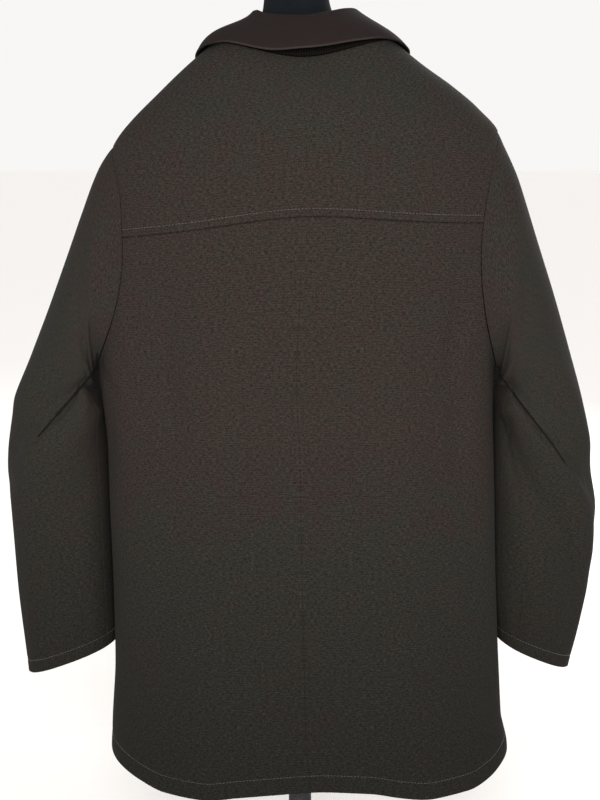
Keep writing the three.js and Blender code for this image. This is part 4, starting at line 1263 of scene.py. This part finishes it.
BUTTON_RADIUS = 13
BUTTON_THICKNESS = 4.5
BUTTON_HEIGHTS = [845, 735, 625, 515, 405]
BUTTON_GAP = 0.4  # between the cloth and a button's back
BUTTON_SIDES = 96
FACE_HEIGHT = BUTTON_THICKNESS - 1.5  # the flat middle of the face, sunk within its rim
HOLE_OFFSET = 2.6 / 1.414  # a hole's centre, across and along
HOLE_RADIUS = 1.05
HORN_DARK = (0.012, 0.007, 0.004, 1)
HORN_LIGHT = (0.06, 0.035, 0.018, 1)
THREAD = (0.0165, 0.0145, 0.0122, 1)
THREAD_DARK = (0.010, 0.0085, 0.007, 1)

horn, tree, shader = new_finish("horn", Roughness=0.34, Coat_Weight=0.25, Coat_Roughness=0.2)
cloudy = ranged(tree, noise(tree, object_place(tree), 90.0, 5.0, Distortion=2.2), 0.35, 0.7)
tree.links.new(blended(tree, cloudy, HORN_DARK, HORN_LIGHT), shader.inputs["Base Color"])

sewing, tree, shader = new_finish("thread", Roughness=0.8, Sheen_Weight=0.2)
fuzz, _ = speckled(tree, object_place(tree), 300.0)
tree.links.new(blended(tree, fuzz, THREAD_DARK, THREAD), shader.inputs["Base Color"])


def button_profile(radius):
    """The height of a button's face at a radius: flat in the middle, raised to a round rim."""
    rim = bell(radius, at=BUTTON_RADIUS - 2.2, width=1.5)
    edge = np.clip((radius - (BUTTON_RADIUS - 1.6)) / 1.6, 0, 1)
    return FACE_HEIGHT + 1.4 * rim - 1.9 * (1 - np.sqrt(1 - edge ** 2))


def button_rings():
    """A button as rings of points (across, along, up): its back, its edge, and its face with
    four sunk holes."""
    turn = np.arange(BUTTON_SIDES) * 2 * np.pi / BUTTON_SIDES
    back_radii = [0.5, 6, BUTTON_RADIUS - 1.6, BUTTON_RADIUS - 0.4, BUTTON_RADIUS]
    back_heights = np.array([0, 0, 0, 0.5, 1.6])
    face_radii = np.concatenate([np.linspace(0.25, 5, 20), np.linspace(5.3, BUTTON_RADIUS, 22)])
    radius, turn = np.meshgrid(np.concatenate([back_radii, face_radii[::-1]]), turn, indexing="ij")
    x, y = radius * np.cos(turn), radius * np.sin(turn)
    z = button_profile(radius)
    for across, along in ((1, 1), (1, -1), (-1, 1), (-1, -1)):
        off = np.hypot(x - across * HOLE_OFFSET, y - along * HOLE_OFFSET)
        z = z - 2.2 * smooth((HOLE_RADIUS + 0.25 - off) / 0.5)
    z[:len(back_heights)] = back_heights[:, None]
    return np.stack([x, y, z], axis=-1)


def sew_across(centre, axes, reach, beside, lift, **stitch):
    """Sews a straight row over a button's place: reach gives where it starts and stops across
    and its points, beside how far off the centre it runs, and lift how high above the cloth."""
    row = np.stack([np.linspace(*reach), np.full(reach[2], beside), np.full(reach[2], lift)],
                   axis=-1)
    sew(centre + row @ axes, np.broadcast_to(axes[2], row.shape), rock=0, **stitch)


rings = button_rings()
for number, height in enumerate(BUTTON_HEIGHTS, 1):
    height = np.array([float(height)])
    angle = front_angle(0, height)
    centre = lapped_point(angle, height)[0]
    up = normal_of(lapped_point)(angle, height)[0]
    across = unit(np.cross(UP, up))
    axes = np.stack([across, np.cross(up, across), up])
    poles = np.array([[0, 0, 0], [0, 0, rings[-1, 0, 2]]])
    placed = centre + up * BUTTON_GAP + np.concatenate([rings.reshape(-1, 3), poles]) @ axes
    button = new_piece(f"button_{number}_horn", placed, closed_faces(len(rings), BUTTON_SIDES),
                       horn)
    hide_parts(f"button_{number}")
    # Two bars of thread cross the four holes.
    for beside in (-HOLE_OFFSET, HOLE_OFFSET):
        for twin in (-0.25, 0.25):
            sew_across(centre, axes, (-HOLE_OFFSET, HOLE_OFFSET, 8), beside + twin,
                       FACE_HEIGHT + 0.45, pitch=3.6, length=4.4, thick=0.24, sink=0.1)
    # The buttonhole reaches past the button towards the front's edge.
    for beside in (-1.3, 1.3):
        sew_across(centre, axes, (-20, 8, 30), beside, 0, pitch=0.9, length=2.4, thick=0.35,
                   sink=0.0)

spindles = np.concatenate([rows.reshape(-1, STITCH_RINGS, STITCH_SIDES, 3) for rows in threads])
stitch_points = STITCH_RINGS * STITCH_SIDES
base = np.arange(len(spindles))[:, None, None] * stitch_points
quads = (tube_faces(STITCH_RINGS, STITCH_SIDES).reshape(-1, 4)[None] + base).reshape(-1, 4)
end = np.arange(STITCH_SIDES)
caps = np.stack([end[::-1], end + stitch_points - STITCH_SIDES])[None] + base
new_piece("topstitching", spindles, [quads, caps.reshape(-1, STITCH_SIDES)], sewing)

# ---- studio -----------------------------------------------------------------------------------
# A wide pale floor that runs off into a pale room, a large soft lamp above and behind the camera,
# weaker ones below it and at each side, and the camera at the height of a standing person's chest.

ROOM = (0.965, 0.945, 0.93, 1)
FLOOR_NEAR = (0.62, 0.61, 0.60, 1)
FLOOR_FAR = (0.98, 0.965, 0.95, 1)
FLOOR_RADIUS, FLOOR_SIDES = 40, 96  # in metres
LAMP_WHITE = (1.0, 0.985, 0.965)

world = bpy.data.worlds.new("room")
world.use_nodes = True
world.node_tree.nodes["Background"].inputs["Color"].default_value = ROOM
world.node_tree.nodes["Background"].inputs["Strength"].default_value = 0.98
bpy.context.scene.world = world

floor_finish, tree, shader = new_finish("floor_paint", Roughness=0.9, Specular_IOR_Level=0.2)
place = object_place(tree)
# The lamps reach less of the floor far off, which is painted paler to meet the room's tone.
far = add_node(tree, "ShaderNodeVectorMath", {0: place}, operation="LENGTH").outputs["Value"]
paler = figured(tree, "MULTIPLY_ADD", speckled(tree, place, 6.0)[0], 0.03,
                ranged(tree, far, 0.3, 4.0))
tree.links.new(blended(tree, paler, FLOOR_NEAR, FLOOR_FAR), shader.inputs["Base Color"])
turn = np.arange(FLOOR_SIDES) * 2 * np.pi / FLOOR_SIDES
disc = np.stack([np.cos(turn) * FLOOR_RADIUS, np.sin(turn) * FLOOR_RADIUS,
                 np.full(FLOOR_SIDES, -0.0003)], axis=-1)
mesh = bpy.data.meshes.new("floor")
mesh.from_pydata(disc.tolist(), [], [list(range(FLOOR_SIDES))])
mesh.materials.append(floor_finish)
floor = bpy.data.objects.new("floor", mesh)
bpy.context.scene.collection.objects.link(floor)


def lamp(name, place, target, size, power):
    """A square soft lamp at a place, turned to a target, both in metres."""
    light = bpy.data.lights.new(name, "AREA")
    light.size = size
    light.energy = power
    light.color = LAMP_WHITE
    made = bpy.data.objects.new(name, light)
    direction = np.array(target, float) - np.array(place, float)
    made.location = place
    made.rotation_euler = Vector(direction).to_track_quat("-Z", "Y").to_euler()
    bpy.context.scene.collection.objects.link(made)


lamp("key_lamp", (0.05, 2.65, 1.3), (0, 0, 0.75), 0.8, 104)
lamp("low_lamp", (0, 2.5, 0.62), (0, 0, 0.6), 0.5, 12)
lamp("front_lamp", (-1.2, -2.4, 2.2), (0, 0, 0.7), 1.6, 60)
lamp("right_lamp", (-2.2, 0.8, 1.6), (0, 0, 0.6), 0.9, 12)
lamp("left_lamp", (2.2, 0.8, 1.6), (0, 0, 0.6), 0.9, 9)

camera_data = bpy.data.cameras.new("camera")
camera_data.sensor_width = 36
camera_data.lens = 76.05
camera = bpy.data.objects.new("camera", camera_data)
camera.location = (0, 2.02, 0.933)
camera.rotation_euler = (np.radians(81), 0, np.radians(180))
bpy.context.scene.collection.objects.link(camera)
bpy.context.scene.camera = camera
